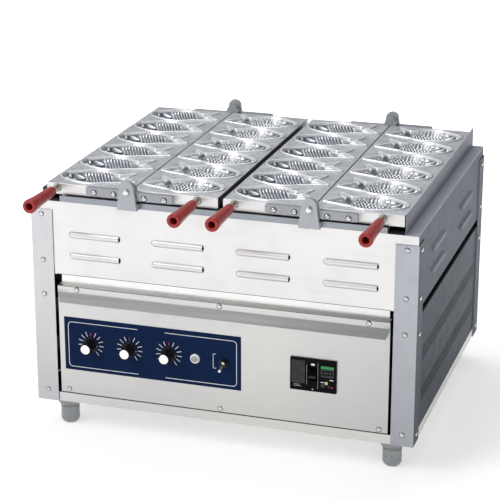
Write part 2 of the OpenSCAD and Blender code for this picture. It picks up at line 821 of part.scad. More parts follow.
// Flat bar with an eye, and its two bolts, at both ends of a plate
module hinge_straps(n) {
    y0 = is_left(n) ? left_strap_y : right_strap_y;
    low = axis_z - strap_drop - strap_h;
    high = axis_z - strap_drop;
    chamfer = 4;
    steel(0.74) on_plate(n) front_and_back() {
        difference() {
            union() {
                translate([0, y0 + strap_t, 0]) rotate([90, 0, 0]) linear_extrude(strap_t)
                    polygon([[0, low], [strap_l - chamfer, low], [strap_l, low + chamfer],
                        [strap_l, high - chamfer], [strap_l - chamfer, high], [0, high]]);
                rod_y(0, y0, y0 + strap_t, axis_z, eye_r);
            }
            rod_y(0, y0 - cut, y0 + strap_t + cut, axis_z, pin_r + pin_clear);
            slab(-eye_r, eye_r - 1, y0 - cut, y0 + strap_t + cut, low - cut, axis_z - eye_r);
            bolt_places() rod_y(0, y0 - cut, y0 + strap_t + cut, 0, bolt_r + hole_clear);
        }
        bolt_places() {
            rod_y(0, y0 - bolt_head_h, y0, 0, bolt_head_r);
            rod_y(0, y0 - cut, plate_y + bolt_bite - cut, 0, bolt_r);
        }
    }
}

module handle_rod(n) {
    u = is_left(n) ? handle_far : handle_near;
    steel(0.7) on_plate(n) {
        rod_y(u, -grip_reach + grip_mouth, plate_y + rod_bite - cut, handle_z, rod_r);
        rod_y(u, plate_y - 7, plate_y, handle_z, rod_r + 2.5);
    }
}

// Tapered tube on the rod, open at its outer end
module grip(n) {
    u = is_left(n) ? handle_far : handle_near;
    color([0.75, 0.16, 0.13]) place() on_plate(n) translate([u, -grip_reach, handle_z]) rotate([-90, 0, 0])
        difference() {
            union() {
                cylinder(r1 = grip_r - 1.2, r2 = grip_r, h = 1.2);
                translate([0, 0, 1.2]) cylinder(r = grip_r, h = 6);
                translate([0, 0, 7.2]) cylinder(r1 = grip_r, r2 = grip_root_r, h = grip_l - 7.2);
            }
            translate([0, 0, -cut]) cylinder(r = grip_hole_r, h = grip_mouth + cut);
            translate([0, 0, grip_mouth - cut]) cylinder(r = rod_r + pin_clear, h = grip_l);
        }
}

heater_z = cabinet_h - sheet + heater_r;
heater_y0 = heater_inset;
heater_l = cabinet_d - 2 * heater_inset - heater_span / 2 + 5;

// U-shaped sheathed element with terminal sleeves at the front
module heater() {
    leg = heater_span / 2;
    for (side = [-1, 1]) {
        rod_y(side * leg, heater_y0, heater_y0 + heater_l, heater_z, heater_r);
        rod_y(side * leg, heater_y0 - 12, heater_y0, heater_z, heater_r + 2);
    }
    translate([0, heater_y0 + heater_l, heater_z]) rotate_extrude(angle = 180)
        translate([leg, 0]) circle(r = heater_r);
}

module heaters() {
    color([0.25, 0.24, 0.24]) place() for (n = [1:4])
        on_plate(n) translate([plate_w / 2, 0, 0]) heater();
}

module heater_supports() {
    steel(0.55) for (y = [heater_y0 + 30, heater_y0 + heater_l / 2, heater_y0 + heater_l - 20])
        slab(-panel_half + 6, panel_half - 6, y, y + 20, cabinet_h - sheet - 3, cabinet_h - sheet);
}

module feet() {
    front_and_back() for (side = [-1, 1]) translate([side * foot_x, foot_inset_y, 0]) children();
}

// Collar under the base pan that the adjuster screws into
module foot_collars() {
    steel(0.78) feet() rotate([180, 0, 0]) difference() {
        union() {
            cylinder(r = collar_r, h = collar_h - 6);
            translate([0, 0, collar_h - 6]) cylinder(r1 = collar_r, r2 = foot_r + 1, h = 6);
        }
        translate([0, 0, -cut]) cylinder(r = stem_r + pin_clear, h = collar_h + 2 * cut);
    }
}

module adjuster(x, y) {
    body_h = foot_h - collar_h;
    steel(0.74) translate([x, y, -foot_h]) {
        cylinder(r1 = foot_r - 5, r2 = foot_r, h = 7);
        translate([0, 0, 7]) cylinder(r = foot_r, h = body_h - 7);
        translate([0, 0, body_h - cut]) cylinder(r = stem_r, h = stem_l + cut);
    }
}

module foot_front_left() {
    adjuster(-foot_x, foot_inset_y);
}

module foot_front_right() {
    adjuster(foot_x, foot_inset_y);
}

module foot_rear_left() {
    adjuster(-foot_x, cabinet_d - foot_inset_y);
}

module foot_rear_right() {
    adjuster(foot_x, cabinet_d - foot_inset_y);
}

// Tapered knob with a skirt, on the regulator's shaft
module knob(x) {
    face = post_t - ctl_plate_t - knob_gap;
    color([0.08, 0.08, 0.08]) place() translate([x, face, dial_z]) rotate([90, 0, 0]) difference() {
        union() {
            cylinder(r = knob_r, h = 3);
            translate([0, 0, 3]) cylinder(r1 = knob_r - 2, r2 = knob_tip_r, h = knob_l - 3);
            rotate(off_turn) translate([0, knob_r - 2, 1.5]) cube([1.6, 5, 3], center = true);
        }
        translate([0, 0, -cut]) cylinder(r = shaft_r + pin_clear, h = knob_l - 8 + cut);
    }
}

module knob_left() {
    knob(dial_x[0]);
}

module knob_middle() {
    knob(dial_x[1]);
}

module knob_right() {
    knob(dial_x[2]);
}

// Energy regulators behind the panel, with the shafts that carry the knobs
module regulators() {
    color([0.85, 0.83, 0.78]) place() for (x = dial_x) {
        slab(x - regulator_half, x + regulator_half, post_t + sheet, post_t + sheet + regulator_l,
            dial_z - regulator_half, dial_z + regulator_half);
        rod_y(x, -knob_l * 0.53, post_t + sheet, dial_z, shaft_r);
    }
}

module pilot_lamp() {
    face = post_t - ctl_plate_t;
    color([0.9, 0.9, 0.9]) place() translate([lamp_x, face, ctl_z]) rotate([90, 0, 0]) {
        difference() {
            cylinder(r = lamp_r, h = 4);
            translate([0, 0, 2.4]) cylinder(r = lamp_r - 3.5, h = 2);
        }
        translate([0, 0, 2.4]) cylinder(r1 = lamp_r - 3.8, r2 = lamp_r - 5.5, h = 2);
        translate([0, 0, -30]) cylinder(r = lamp_r * 0.7, h = 30);
    }
}

toggle_y = post_t - ctl_plate_t;
toggle_z = ctl_z - 1;
toggle_pivot = 3;
toggle_ball = toggle_r - 2;

// Switch body behind the panel, with the threaded bush and its nut in front
module toggle_switch() {
    color([0.1, 0.1, 0.1]) place() translate([toggle_x, toggle_y, toggle_z]) rotate([90, 0, 0]) difference() {
        union() {
            cylinder(r = toggle_r + 3.5, h = 3, $fn = 6);
            translate([0, 0, 3]) cylinder(r = toggle_r, h = 6);
            translate([0, 0, -sheet - ctl_plate_t]) cylinder(r = toggle_r * 0.8, h = sheet + ctl_plate_t + cut);
            translate([-8, -13, -sheet - ctl_plate_t - 26]) cube([16, 26, 26]);
        }
        translate([0, 0, toggle_pivot]) sphere(r = toggle_ball + pin_clear);
        translate([0, 0, toggle_pivot]) cylinder(r1 = 3, r2 = toggle_r - 1, h = 6 + cut);
    }
}

module toggle_lever() {
    color([0.75, 0.75, 0.75]) place() translate([toggle_x, toggle_y - toggle_pivot, toggle_z])
        rotate([90 + toggle_tilt, 0, 0]) {
            sphere(r = toggle_ball);
            cylinder(r1 = 1.8, r2 = 3, h = 24);
            translate([0, 0, 24]) sphere(r = 3);
        }
}

breaker_face = post_t - breaker_proud;
slot_w = 22;
slot_h = 30;
slot_l = 14;
lever_x = breaker_x - 1;
lever_z = breaker_z + 4;
button_x = breaker_x + breaker_w * 0.29;
button_z = breaker_z - breaker_h * 0.19;
button_r = 3;
lever_pivot_y = breaker_face + 10.5;
trunnion_r = 1.5;
trunnion_l = 3;

// Moulded case with the lever's recess, the button's bore and a back body
module breaker_body() {
    color([0.07, 0.07, 0.075]) place() difference() {
        union() {
            slab(breaker_x - breaker_w / 2, breaker_x + breaker_w / 2, breaker_face, post_t,
                breaker_z - breaker_h / 2, breaker_z + breaker_h / 2);
            slab(breaker_x - breaker_w / 2 + breaker_rim, breaker_x + breaker_w / 2 - breaker_rim,
                post_t - cut, post_t + breaker_back,
                breaker_z - breaker_h / 2 + breaker_rim, breaker_z + breaker_h / 2 - breaker_rim);
        }
        slab(lever_x - slot_w / 2, lever_x + slot_w / 2, breaker_face - cut, breaker_face + slot_l,
            lever_z - slot_h / 2, lever_z + slot_h / 2);
        rod_y(button_x, breaker_face - cut, breaker_face + 8, button_z, button_r + hole_clear);
        translate([lever_x, lever_pivot_y, lever_z]) rotate([0, 90, 0])
            cylinder(r = trunnion_r + pin_clear, h = slot_w + 2 * trunnion_l, center = true);
    }
}

// Toggle on its trunnions, resting in the lower position
module breaker_lever() {
    color([0.12, 0.12, 0.125]) place() translate([lever_x, lever_pivot_y, lever_z]) {
        rotate([0, 90, 0]) cylinder(r = 3.4, h = slot_w - 1, center = true);
        rotate([0, 90, 0]) cylinder(r = trunnion_r, h = slot_w + 2 * trunnion_l - 1, center = true);
        rotate([20, 0, 0]) slab(-7, 7, -17, 0, -3, 3);
    }
}

module breaker_button() {
    color([0.9, 0.85, 0.45]) place() rod_y(button_x, breaker_face - 2, breaker_face + 5, button_z, button_r);
}

front_louvre_panel();
rear_louvre_panel();
left_upper_panel();
right_upper_panel();
post_front_left();
post_front_right();
post_rear_left();
post_rear_right();
control_panel();
front_visor();
left_lower_panel();
right_lower_panel();
rear_lower_panel();
base_pan();
heat_shield();
drip_tray();
left_guard();
right_guard();
front_rail();
rear_rail();
hinge_brackets_left();
hinge_brackets_right();
hinge_pins();
mould_plate(1);  // plate_1
mould_plate(2);  // plate_2
mould_plate(3);  // plate_3
mould_plate(4);  // plate_4
hinge_straps(1);  // hinge_straps_1
hinge_straps(2);  // hinge_straps_2
hinge_straps(3);  // hinge_straps_3
hinge_straps(4);  // hinge_straps_4
handle_rod(1);  // handle_rod_1
handle_rod(2);  // handle_rod_2
handle_rod(3);  // handle_rod_3
handle_rod(4);  // handle_rod_4
grip(1);  // grip_1
grip(2);  // grip_2
grip(3);  // grip_3
grip(4);  // grip_4
heaters();
heater_supports();
cable_gland();
foot_collars();
foot_front_left();
foot_front_right();
foot_rear_left();
foot_rear_right();
knob_left();
knob_middle();
knob_right();
regulators();
control_plate();
pilot_lamp();
toggle_switch();
toggle_lever();
breaker_body();
breaker_lever();
breaker_button();
post_screws();
panel_screws();
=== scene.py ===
"""Looks of a taiyaki maker: cast fish moulds on a louvred steel cabinet."""

import logging
import math
from collections.abc import Callable
from dataclasses import dataclass
from enum import Enum

import bmesh
import bpy
import numpy as np
from mathutils import Matrix, Vector
from mathutils.geometry import delaunay_2d_cdt

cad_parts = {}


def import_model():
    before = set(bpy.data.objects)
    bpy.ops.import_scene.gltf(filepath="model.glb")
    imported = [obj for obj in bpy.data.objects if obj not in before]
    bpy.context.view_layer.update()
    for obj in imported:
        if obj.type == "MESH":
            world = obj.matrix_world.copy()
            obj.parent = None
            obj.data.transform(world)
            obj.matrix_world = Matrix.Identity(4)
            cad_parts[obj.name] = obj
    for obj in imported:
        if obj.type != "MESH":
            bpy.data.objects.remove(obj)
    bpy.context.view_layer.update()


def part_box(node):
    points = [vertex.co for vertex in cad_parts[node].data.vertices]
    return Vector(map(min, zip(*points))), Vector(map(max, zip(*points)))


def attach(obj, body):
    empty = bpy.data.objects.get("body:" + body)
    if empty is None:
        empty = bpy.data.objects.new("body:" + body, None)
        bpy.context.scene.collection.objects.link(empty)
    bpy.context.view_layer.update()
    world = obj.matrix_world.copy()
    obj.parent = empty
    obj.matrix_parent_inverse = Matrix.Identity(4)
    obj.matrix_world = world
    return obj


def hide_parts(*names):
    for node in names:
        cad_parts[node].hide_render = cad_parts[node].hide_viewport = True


LOG = logging.getLogger("taiyaki maker")
MM = 0.001
Point = tuple[float, float, float]
Colour = tuple[float, float, float]


class Axis(Enum):
    """Directions in which a turned or extruded piece can point."""

    RIGHT = Vector((1, 0, 0))
    BACK = Vector((0, 1, 0))
    FRONT = Vector((0, -1, 0))
    UP = Vector((0, 0, 1))
    DOWN = Vector((0, 0, -1))


@dataclass(frozen=True)
class Datum:
    """Where the drawing's zero lies: front of the posts, top of the base pan.

    Attributes:
        front_y: the posts' front face in the frame, in metres.
        base_z: the posts' foot in the frame, in metres.
    """

    front_y: float
    base_z: float

    @classmethod
    def of_frame(cls) -> "Datum":
        """Reads the zero from the front left post."""
        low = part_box("post_front_left")[0]
        return cls(low.y, low.z)

    def at(self, x: float, y: float, z: float) -> Vector:
        """A place on the drawing, in millimetres, as a place in the frame."""
        return Vector((x * MM, self.front_y + y * MM, self.base_z + z * MM))

    def array(self, points: np.ndarray) -> np.ndarray:
        """Many places on the drawing at once."""
        return np.asarray(points, float) * MM + np.array([0, self.front_y, self.base_z])


class Graph:
    """Short hand for the nodes of one material or of the world."""

    def __init__(self, tree: bpy.types.NodeTree) -> None:
        self.tree = tree
        tree.nodes.clear()

    def add(self, kind: str, inputs: dict | None = None, **settings: object) -> bpy.types.Node:
        """Adds a node.

        Args:
            kind: the node's type name.
            inputs: values or sockets by input name or number.
            settings: the node's own settings.

        Returns:
            The new node.
        """
        node = self.tree.nodes.new(kind)
        for key, value in settings.items():
            setattr(node, key, value)
        for key, value in (inputs or {}).items():
            if isinstance(value, bpy.types.NodeSocket):
                self.tree.links.new(value, node.inputs[key])
            else:
                node.inputs[key].default_value = value
        return node

    def place(self, scale: Point = (1, 1, 1), shift: Point = (0, 0, 0)) -> bpy.types.NodeSocket:
        """Object coordinates, scaled and shifted."""
        spot = self.add("ShaderNodeTexCoord").outputs["Object"]
        return self.add("ShaderNodeMapping", {"Vector": spot, "Scale": scale, "Location": shift}).outputs[0]

    def noise(self, vector: bpy.types.NodeSocket, scale: float, detail: float = 3, rough: float = 0.5) -> bpy.types.NodeSocket:
        """Grey noise over a set of coordinates."""
        return self.add("ShaderNodeTexNoise", {"Vector": vector, "Scale": scale, "Detail": detail,
                                               "Roughness": rough}).outputs["Fac"]

    def span(self, value: bpy.types.NodeSocket, low: float, high: float, to_low: float, to_high: float) -> bpy.types.NodeSocket:
        """Maps a range of values to another one, clamped."""
        return self.add("ShaderNodeMapRange", {"Value": value, "From Min": low, "From Max": high,
                                               "To Min": to_low, "To Max": to_high}).outputs[0]

    def math(self, what: str, a: object, b: object) -> bpy.types.NodeSocket:
        """One sum of two values."""
        return self.add("ShaderNodeMath", {0: a, 1: b}, operation=what).outputs[0]

    def mix(self, factor: object, a: object, b: object) -> bpy.types.NodeSocket:
        """Blend of two colours."""
        def full(c: object) -> object:
            """A colour with its alpha."""
            return (*c, 1) if isinstance(c, tuple) else c
        return self.add("ShaderNodeMix", {0: factor, 6: full(a), 7: full(b)}, data_type="RGBA").outputs[2]

    def bump(self, height: bpy.types.NodeSocket, strength: float, depth: float,
             under: bpy.types.NodeSocket | None = None) -> bpy.types.NodeSocket:
        """A bump from a height, over another bump where there is one."""
        inputs = {"Height": height, "Strength": strength, "Distance": depth}
        if under is not None:
            inputs["Normal"] = under
        return self.add("ShaderNodeBump", inputs).outputs[0]

    def surface(self, inputs: dict) -> None:
        """Ends a material in a principled surface."""
        shader = self.add("ShaderNodeBsdfPrincipled", inputs)
        self.add("ShaderNodeOutputMaterial", {"Surface": shader.outputs[0]})


def tone(colour: Colour, factor: float, blue: float = 1.0) -> Colour:
    """A lighter, darker or cooler colour."""
    return tuple(min(1.0, c * factor * (blue if i == 2 else 1)) for i, c in enumerate(colour))


@dataclass(frozen=True)
class Finish:
    """A surface finish. Subclasses add the detail that theirs shows.

    Attributes:
        name: the material's name.
        colour: linear base colour.
        roughness: mean roughness.
    """

    name: str
    colour: Colour
    roughness: float = 0.4

    def material(self) -> bpy.types.Material:
        """The finish's material, made once."""
        found = bpy.data.materials.get(self.name)
        if found:
            return found
        made = bpy.data.materials.new(self.name)
        made.use_nodes = True
        made.diffuse_color = (*self.colour, 1)
        self.dress(Graph(made.node_tree))
        return made

    def dress(self, graph: Graph) -> None:
        """Fills the material's nodes."""
        raise NotImplementedError


@dataclass(frozen=True)
class BrushedSteel(Finish):
    """Sheet steel with a grain, faint clouds, handling marks and, where set, painted shade towards its right end.

    Attributes:
        grain: how often the grain repeats along each axis, per metre.
        relief: strength of the grain's bump.
        streak: how strongly the grain shows in the colour.
        warmth: how far the clouds drift from warm to cool.
        right_end_shade: painted shade, the brightness kept at the right end.
        metal: share of metallic reflection.
        rim: strength of the reflection at a glancing view.
    """

    grain: Point = (9, 9, 900)
    relief: float = 0.05
    streak: float = 0.14
    warmth: float = 0.025
    right_end_shade: float = 1.0
    metal: float = 1.0
    rim: float = 1.0

    def dress(self, graph: Graph) -> None:
        """Fills the material's nodes."""
        grain = graph.noise(graph.place(self.grain), 1, 5, 0.7)
        place = graph.place()
        clouds = graph.noise(place, 2.3, 2)
        marks = graph.noise(place, 21, 4, 0.6)
        warm = tone(self.colour, 1.03, 1 - self.warmth)
        cool = tone(self.colour, 0.95, 1 + self.warmth)
        base = graph.mix(graph.span(clouds, 0.35, 0.65, 0, 1), cool, warm)
        streak = graph.mix(graph.span(grain, 0.35, 0.7, 0, self.streak), base, tone(self.colour, 0.72))
        # Painted shade: the colour darkens towards the cabinet's right end along the object's X.
        if self.right_end_shade < 1:
            across = graph.add("ShaderNodeSeparateXYZ", {0: place}).outputs[0]
            streak = graph.mix(graph.span(across, 0.10, 0.38, 0, 1), streak, tone(self.colour, self.right_end_shade, 1.04))
        rough = graph.math("ADD", graph.span(grain, 0.3, 0.7, self.roughness - 0.05, self.roughness + 0.05),
                           graph.span(marks, 0.5, 0.75, 0, 0.09))
        graph.surface({"Base Color": streak, "Metallic": self.metal, "Roughness": rough,
                       "Specular Tint": (self.rim, self.rim, self.rim, 1.0),
                       "Normal": graph.bump(grain, self.relief, 0.0003)})


@dataclass(frozen=True)
class CastAlloy(Finish):
    """Cast mould plate: milled flats above, smoother hollows below, darkened by soot with painted shade and lit by
    polish with painted highlight where the patina says.

    Attributes:
        face_z: height of the plate's flats, in metres.
        deep: depth at which the hollows are smoothest, in metres.
        soot_and_shade: colour of the darkest grooves, soot with painted shade.
        metal: share of metallic reflection.
    """

    face_z: float = 0.0
    deep: float = 0.016
    soot_and_shade: Colour = (0.022, 0.031, 0.062)
    metal: float = 0.85

    def dress(self, graph: Graph) -> None:
        """Fills the material's nodes."""
        place = graph.place()
        height = graph.add("ShaderNodeSeparateXYZ", {0: place}).outputs[2]
        depth = graph.span(height, self.face_z - 0.0022, self.face_z - self.deep, 0, 1)
        patina = graph.add("ShaderNodeAttribute", attribute_name="patina").outputs["Fac"]
        polish_and_highlight = graph.span(patina, -1, 0, 1, 0)
        skin = graph.noise(place, 640, 3, 0.6)
        patches = graph.noise(place, 34, 5, 0.62)
        # Soot with painted shade where the patina is positive; polish with painted highlight where it is negative.
        soot_and_shade = graph.math("MULTIPLY", graph.span(patina, 0, 1, 0, 1.0), graph.span(patches, 0.3, 0.7, 0.85, 1.0))
        flats = graph.mix(graph.span(patches, 0.35, 0.68, 0, 1), tone(self.colour, 0.95, 1.02), tone(self.colour, 1.04))
        base = graph.mix(soot_and_shade, graph.mix(polish_and_highlight, flats, (0.92, 0.925, 0.935)), self.soot_and_shade)
        rough = graph.math("ADD", graph.span(depth, 0, 0.25, self.roughness, self.roughness - 0.12),
                           graph.span(patches, 0.4, 0.75, 0, 0.10))
        graph.surface({"Base Color": base, "Metallic": self.metal, "Roughness": rough,
                       "Normal": graph.bump(patches, 0.05, 0.0009, graph.bump(skin, 0.10, 0.0003))})


@dataclass(frozen=True)
class Plastic(Finish):
    """Moulded plastic or enamel with a fine skin and faint wear.

    Attributes:
        worn: colour of the rubbed patches.
        wear: how strongly they show.
        skin: size of the moulded grain, per metre.
        coat: strength of a clear gloss over it.
        shine: strength of its own reflection.
    """

    worn: Colour = (0.5, 0.5, 0.5)
    wear: float = 0.12
    skin: float = 900.0
    coat: float = 0.0
    shine: float = 0.5

    def dress(self, graph: Graph) -> None:
        """Fills the material's nodes."""
        place = graph.place()
        fine = graph.noise(place, self.skin, 2)
        rubbed = graph.noise(place, 75, 5, 0.65)
        base = graph.mix(graph.span(rubbed, 0.5, 0.8, 0, self.wear), self.colour, self.worn)
        rough = graph.span(rubbed, 0.3, 0.7, self.roughness - 0.04, self.roughness + 0.08)
        graph.surface({"Base Color": base, "Roughness": rough, "Coat Weight": self.coat, "Coat Roughness": 0.12,
                       "Specular IOR Level": self.shine,
                       "Normal": graph.bump(fine, 0.12, 0.0002)})


@dataclass(frozen=True)
class TurnedMetal(Finish):
    """Plated or turned metal with tool rings and tarnish.

    Attributes:
        tarnish: colour of the dull patches.
        rings: how often tool marks repeat, per metre.
    """

    tarnish: Colour = (0.42, 0.40, 0.37)
    rings: float = 900.0

    def dress(self, graph: Graph) -> None:
        """Fills the material's nodes."""
        place = graph.place()
        rings = graph.noise(graph.place((60, self.rings, 60)), 1, 2)
        dull = graph.noise(place, 110, 4, 0.6)
        base = graph.mix(graph.span(dull, 0.48, 0.75, 0, 0.5), self.colour, self.tarnish)
        rough = graph.span(dull, 0.35, 0.7, self.roughness - 0.06, self.roughness + 0.16)
        graph.surface({"Base Color": base, "Metallic": 1.0, "Roughness": rough,
                       "Normal": graph.bump(rings, 0.08, 0.0002)})


@dataclass(frozen=True)
class Floor(Finish):
    """Pale studio floor that stays white around the object's soft shadow."""

    def dress(self, graph: Graph) -> None:
        """Fills the material's nodes."""
        path = graph.add("ShaderNodeLightPath").outputs
        seen = graph.math("MAXIMUM", path["Is Camera Ray"], graph.math("MAXIMUM", path["Is Glossy Ray"],
                                                                      path["Is Transmission Ray"]))
        place = graph.place()
        speck = graph.noise(place, 6, 3)
        shade = graph.mix(speck, self.colour, tone(self.colour, 0.985))
        matt = graph.add("ShaderNodeBsdfDiffuse", {"Color": shade})
        away = graph.add("ShaderNodeVectorMath", {0: place}, operation="LENGTH").outputs["Value"]
        level = graph.span(away, 0.5, 1.5, 0.46, 1.0)
        glow = graph.add("ShaderNodeEmission", {"Color": (1, 1, 1, 1), "Strength": graph.math("MULTIPLY", seen, level)})
        both = graph.add("ShaderNodeAddShader", {0: matt.outputs[0], 1: glow.outputs[0]})
        graph.add("ShaderNodeOutputMaterial", {"Surface": both.outputs[0]})


# The casing, neck, control panel and lip finishes carry painted shade towards their right end.
CASING = BrushedSteel("casing steel", (0.60, 0.588, 0.573), 0.40, right_end_shade=0.68)
# Painted light: a lighter copy of the casing steel for the louvres that stand out of the front and rear walls.
LOUVRE_LIT = BrushedSteel("louvre steel", (0.68, 0.67, 0.66), 0.40)
# Painted light: a lighter copy for the visor's neck, against the shade under the louvred wall; it also darkens towards
# the right end as painted shade.
NECK_LIT = BrushedSteel("visor neck steel", (0.74, 0.73, 0.715), 0.28, right_end_shade=0.8)
PANEL = BrushedSteel("control panel steel", (0.57, 0.563, 0.553), 0.38, right_end_shade=0.84)
# Painted shade: a darker, glossier copy for the visor's lip, darkening further towards the right end.
LIP_SHADED = BrushedSteel("visor lip steel", (0.54, 0.545, 0.54), 0.16, (3, 3, 95), 0.02, 1.0, right_end_shade=0.6)
BASE = BrushedSteel("base steel", (0.62, 0.61, 0.60), 0.34)
POST = BrushedSteel("post steel", (0.50, 0.50, 0.51), 0.34, grain=(900, 900, 9))
# Painted shade: a darker copy of the post steel for the right posts.
POST_RIGHT_SHADED = BrushedSteel("right post steel", (0.36, 0.372, 0.405), 0.34, grain=(900, 900, 9), streak=0.3)
# Painted shade: a near-black copy for the posts' side faces, with weaker glancing reflection.
POST_SIDE_SHADED = BrushedSteel("post side steel", (0.125, 0.132, 0.165), 0.4, grain=(900, 900, 9), rim=0.55)
# Painted shade: a near-black copy for the lower side panels, with weaker glancing reflection.
SIDE_SHADED = BrushedSteel("side steel", (0.080, 0.098, 0.122), 0.34, relief=0.03, rim=0.5)
# Painted shade: a dark copy for the upper side walls, with weaker glancing reflection.
UPPER_SIDE_SHADED = BrushedSteel("upper side steel", (0.15, 0.16, 0.19), 0.40, relief=0.03, rim=0.5)
# Painted light: a lighter copy for the louvres that stand out of the side walls.
SIDE_LOUVRE_LIT = BrushedSteel("side louvre steel", (0.34, 0.355, 0.40), 0.5, relief=0.03, metal=0.1, rim=0.5)
# Painted light: a lighter copy for the upward faces of the side walls and guards.
FLANGE_LIT = BrushedSteel("flange steel", (0.40, 0.417, 0.465), 0.5, metal=0.05)
# Painted highlight: a light copy for the guards' top and foot edges.
EDGE_HIGHLIGHT = BrushedSteel("edge steel", (0.62, 0.64, 0.68), 0.5, metal=0.3)
# Painted shade: a dark copy for the guards, with weaker glancing reflection.
GUARD_SHADED = BrushedSteel("guard steel", (0.27, 0.283, 0.33), 0.5, metal=0.05, rim=0.5)
# Painted shadow: thin dark strips laid along the visor's folds and the panel seams.
SHADOW = BrushedSteel("hem steel", (0.08, 0.078, 0.075), 0.5)
# Painted shade: near-black for parts inside the cabinet and for faces in its gaps.
INNER_SHADE = BrushedSteel("inner steel", (0.05, 0.05, 0.05), 0.6, grain=(80, 80, 80))
# Painted shade: a darker copy for the rails under the plates.
RAIL_SHADED = BrushedSteel("rail steel", (0.27, 0.285, 0.31), 0.34, streak=0.3)
STRAP = CastAlloy("strap steel", (0.33, 0.34, 0.36), 0.38, face_z=5.0, metal=0.4)
# Painted shade: a near-black copy for the plates' side faces.
PLATE_SIDE_SHADE = CastAlloy("cast plate side", (0.07, 0.072, 0.076), 0.5, face_z=5.0)
PLATE_EDGE = CastAlloy("cast plate edge", (0.62, 0.61, 0.59), 0.5, face_z=5.0, soot_and_shade=(0.50, 0.49, 0.47))
HINGE = CastAlloy("hinge steel", (0.42, 0.435, 0.46), 0.38, face_z=5.0, metal=0.3)
ROD = TurnedMetal("rod steel", (0.42, 0.40, 0.35), 0.24)
CAP = TurnedMetal("cap steel", (0.88, 0.88, 0.89), 0.34, tarnish=(0.80, 0.80, 0.80))
SCREW = TurnedMetal("screw steel", (0.60, 0.605, 0.62), 0.16, tarnish=(0.20, 0.20, 0.21))
# Painted shadow: a near-black ring under each screw head.
SEAT_SHADOW = TurnedMetal("screw seat", (0.05, 0.05, 0.055), 0.5, tarnish=(0.08, 0.08, 0.08))
FOOT = TurnedMetal("foot steel", (0.26, 0.27, 0.28), 0.3)
SHEATH = TurnedMetal("heater sheath", (0.16, 0.15, 0.145), 0.5, tarnish=(0.22, 0.16, 0.12))
GRIP = Plastic("grip red", (0.40, 0.022, 0.018), 0.34, worn=(0.62, 0.16, 0.12), wear=0.25, coat=0.2, shine=0.35)
KNOB = Plastic("knob black", (0.005, 0.005, 0.006), 0.30, worn=(0.03, 0.03, 0.03), shine=0.30)
BAKELITE = Plastic("breaker black", (0.004, 0.0043, 0.005), 0.42, worn=(0.02, 0.02, 0.02), shine=0.05)
GLAND = Plastic("gland black", (0.02, 0.02, 0.02), 0.55, worn=(0.1, 0.1, 0.1))
CREAM = Plastic("regulator cream", (0.70, 0.66, 0.56), 0.5)
BLUE = Plastic("control blue", (0.008, 0.021, 0.072), 0.5, worn=(0.010, 0.026, 0.085), wear=0.5, skin=300, shine=0.04)
WHITE = Plastic("print white", (0.97, 0.97, 0.97), 0.5, worn=(0.92, 0.92, 0.93))
RED = Plastic("print red", (0.65, 0.02, 0.02), 0.5)
GREEN = Plastic("print green", (0.03, 0.30, 0.10), 0.5)
LENS = Plastic("lamp lens", (0.40, 0.41, 0.41), 0.25, coat=0.5)
LABEL = Plastic("breaker label", (0.055, 0.057, 0.06), 0.45, shine=0.1)
WINDOW = Plastic("breaker window", (0.002, 0.002, 0.003), 0.15, skin=200, coat=0.3, shine=0.3)
BUTTON = Plastic("button yellow", (0.80, 0.76, 0.34), 0.35)


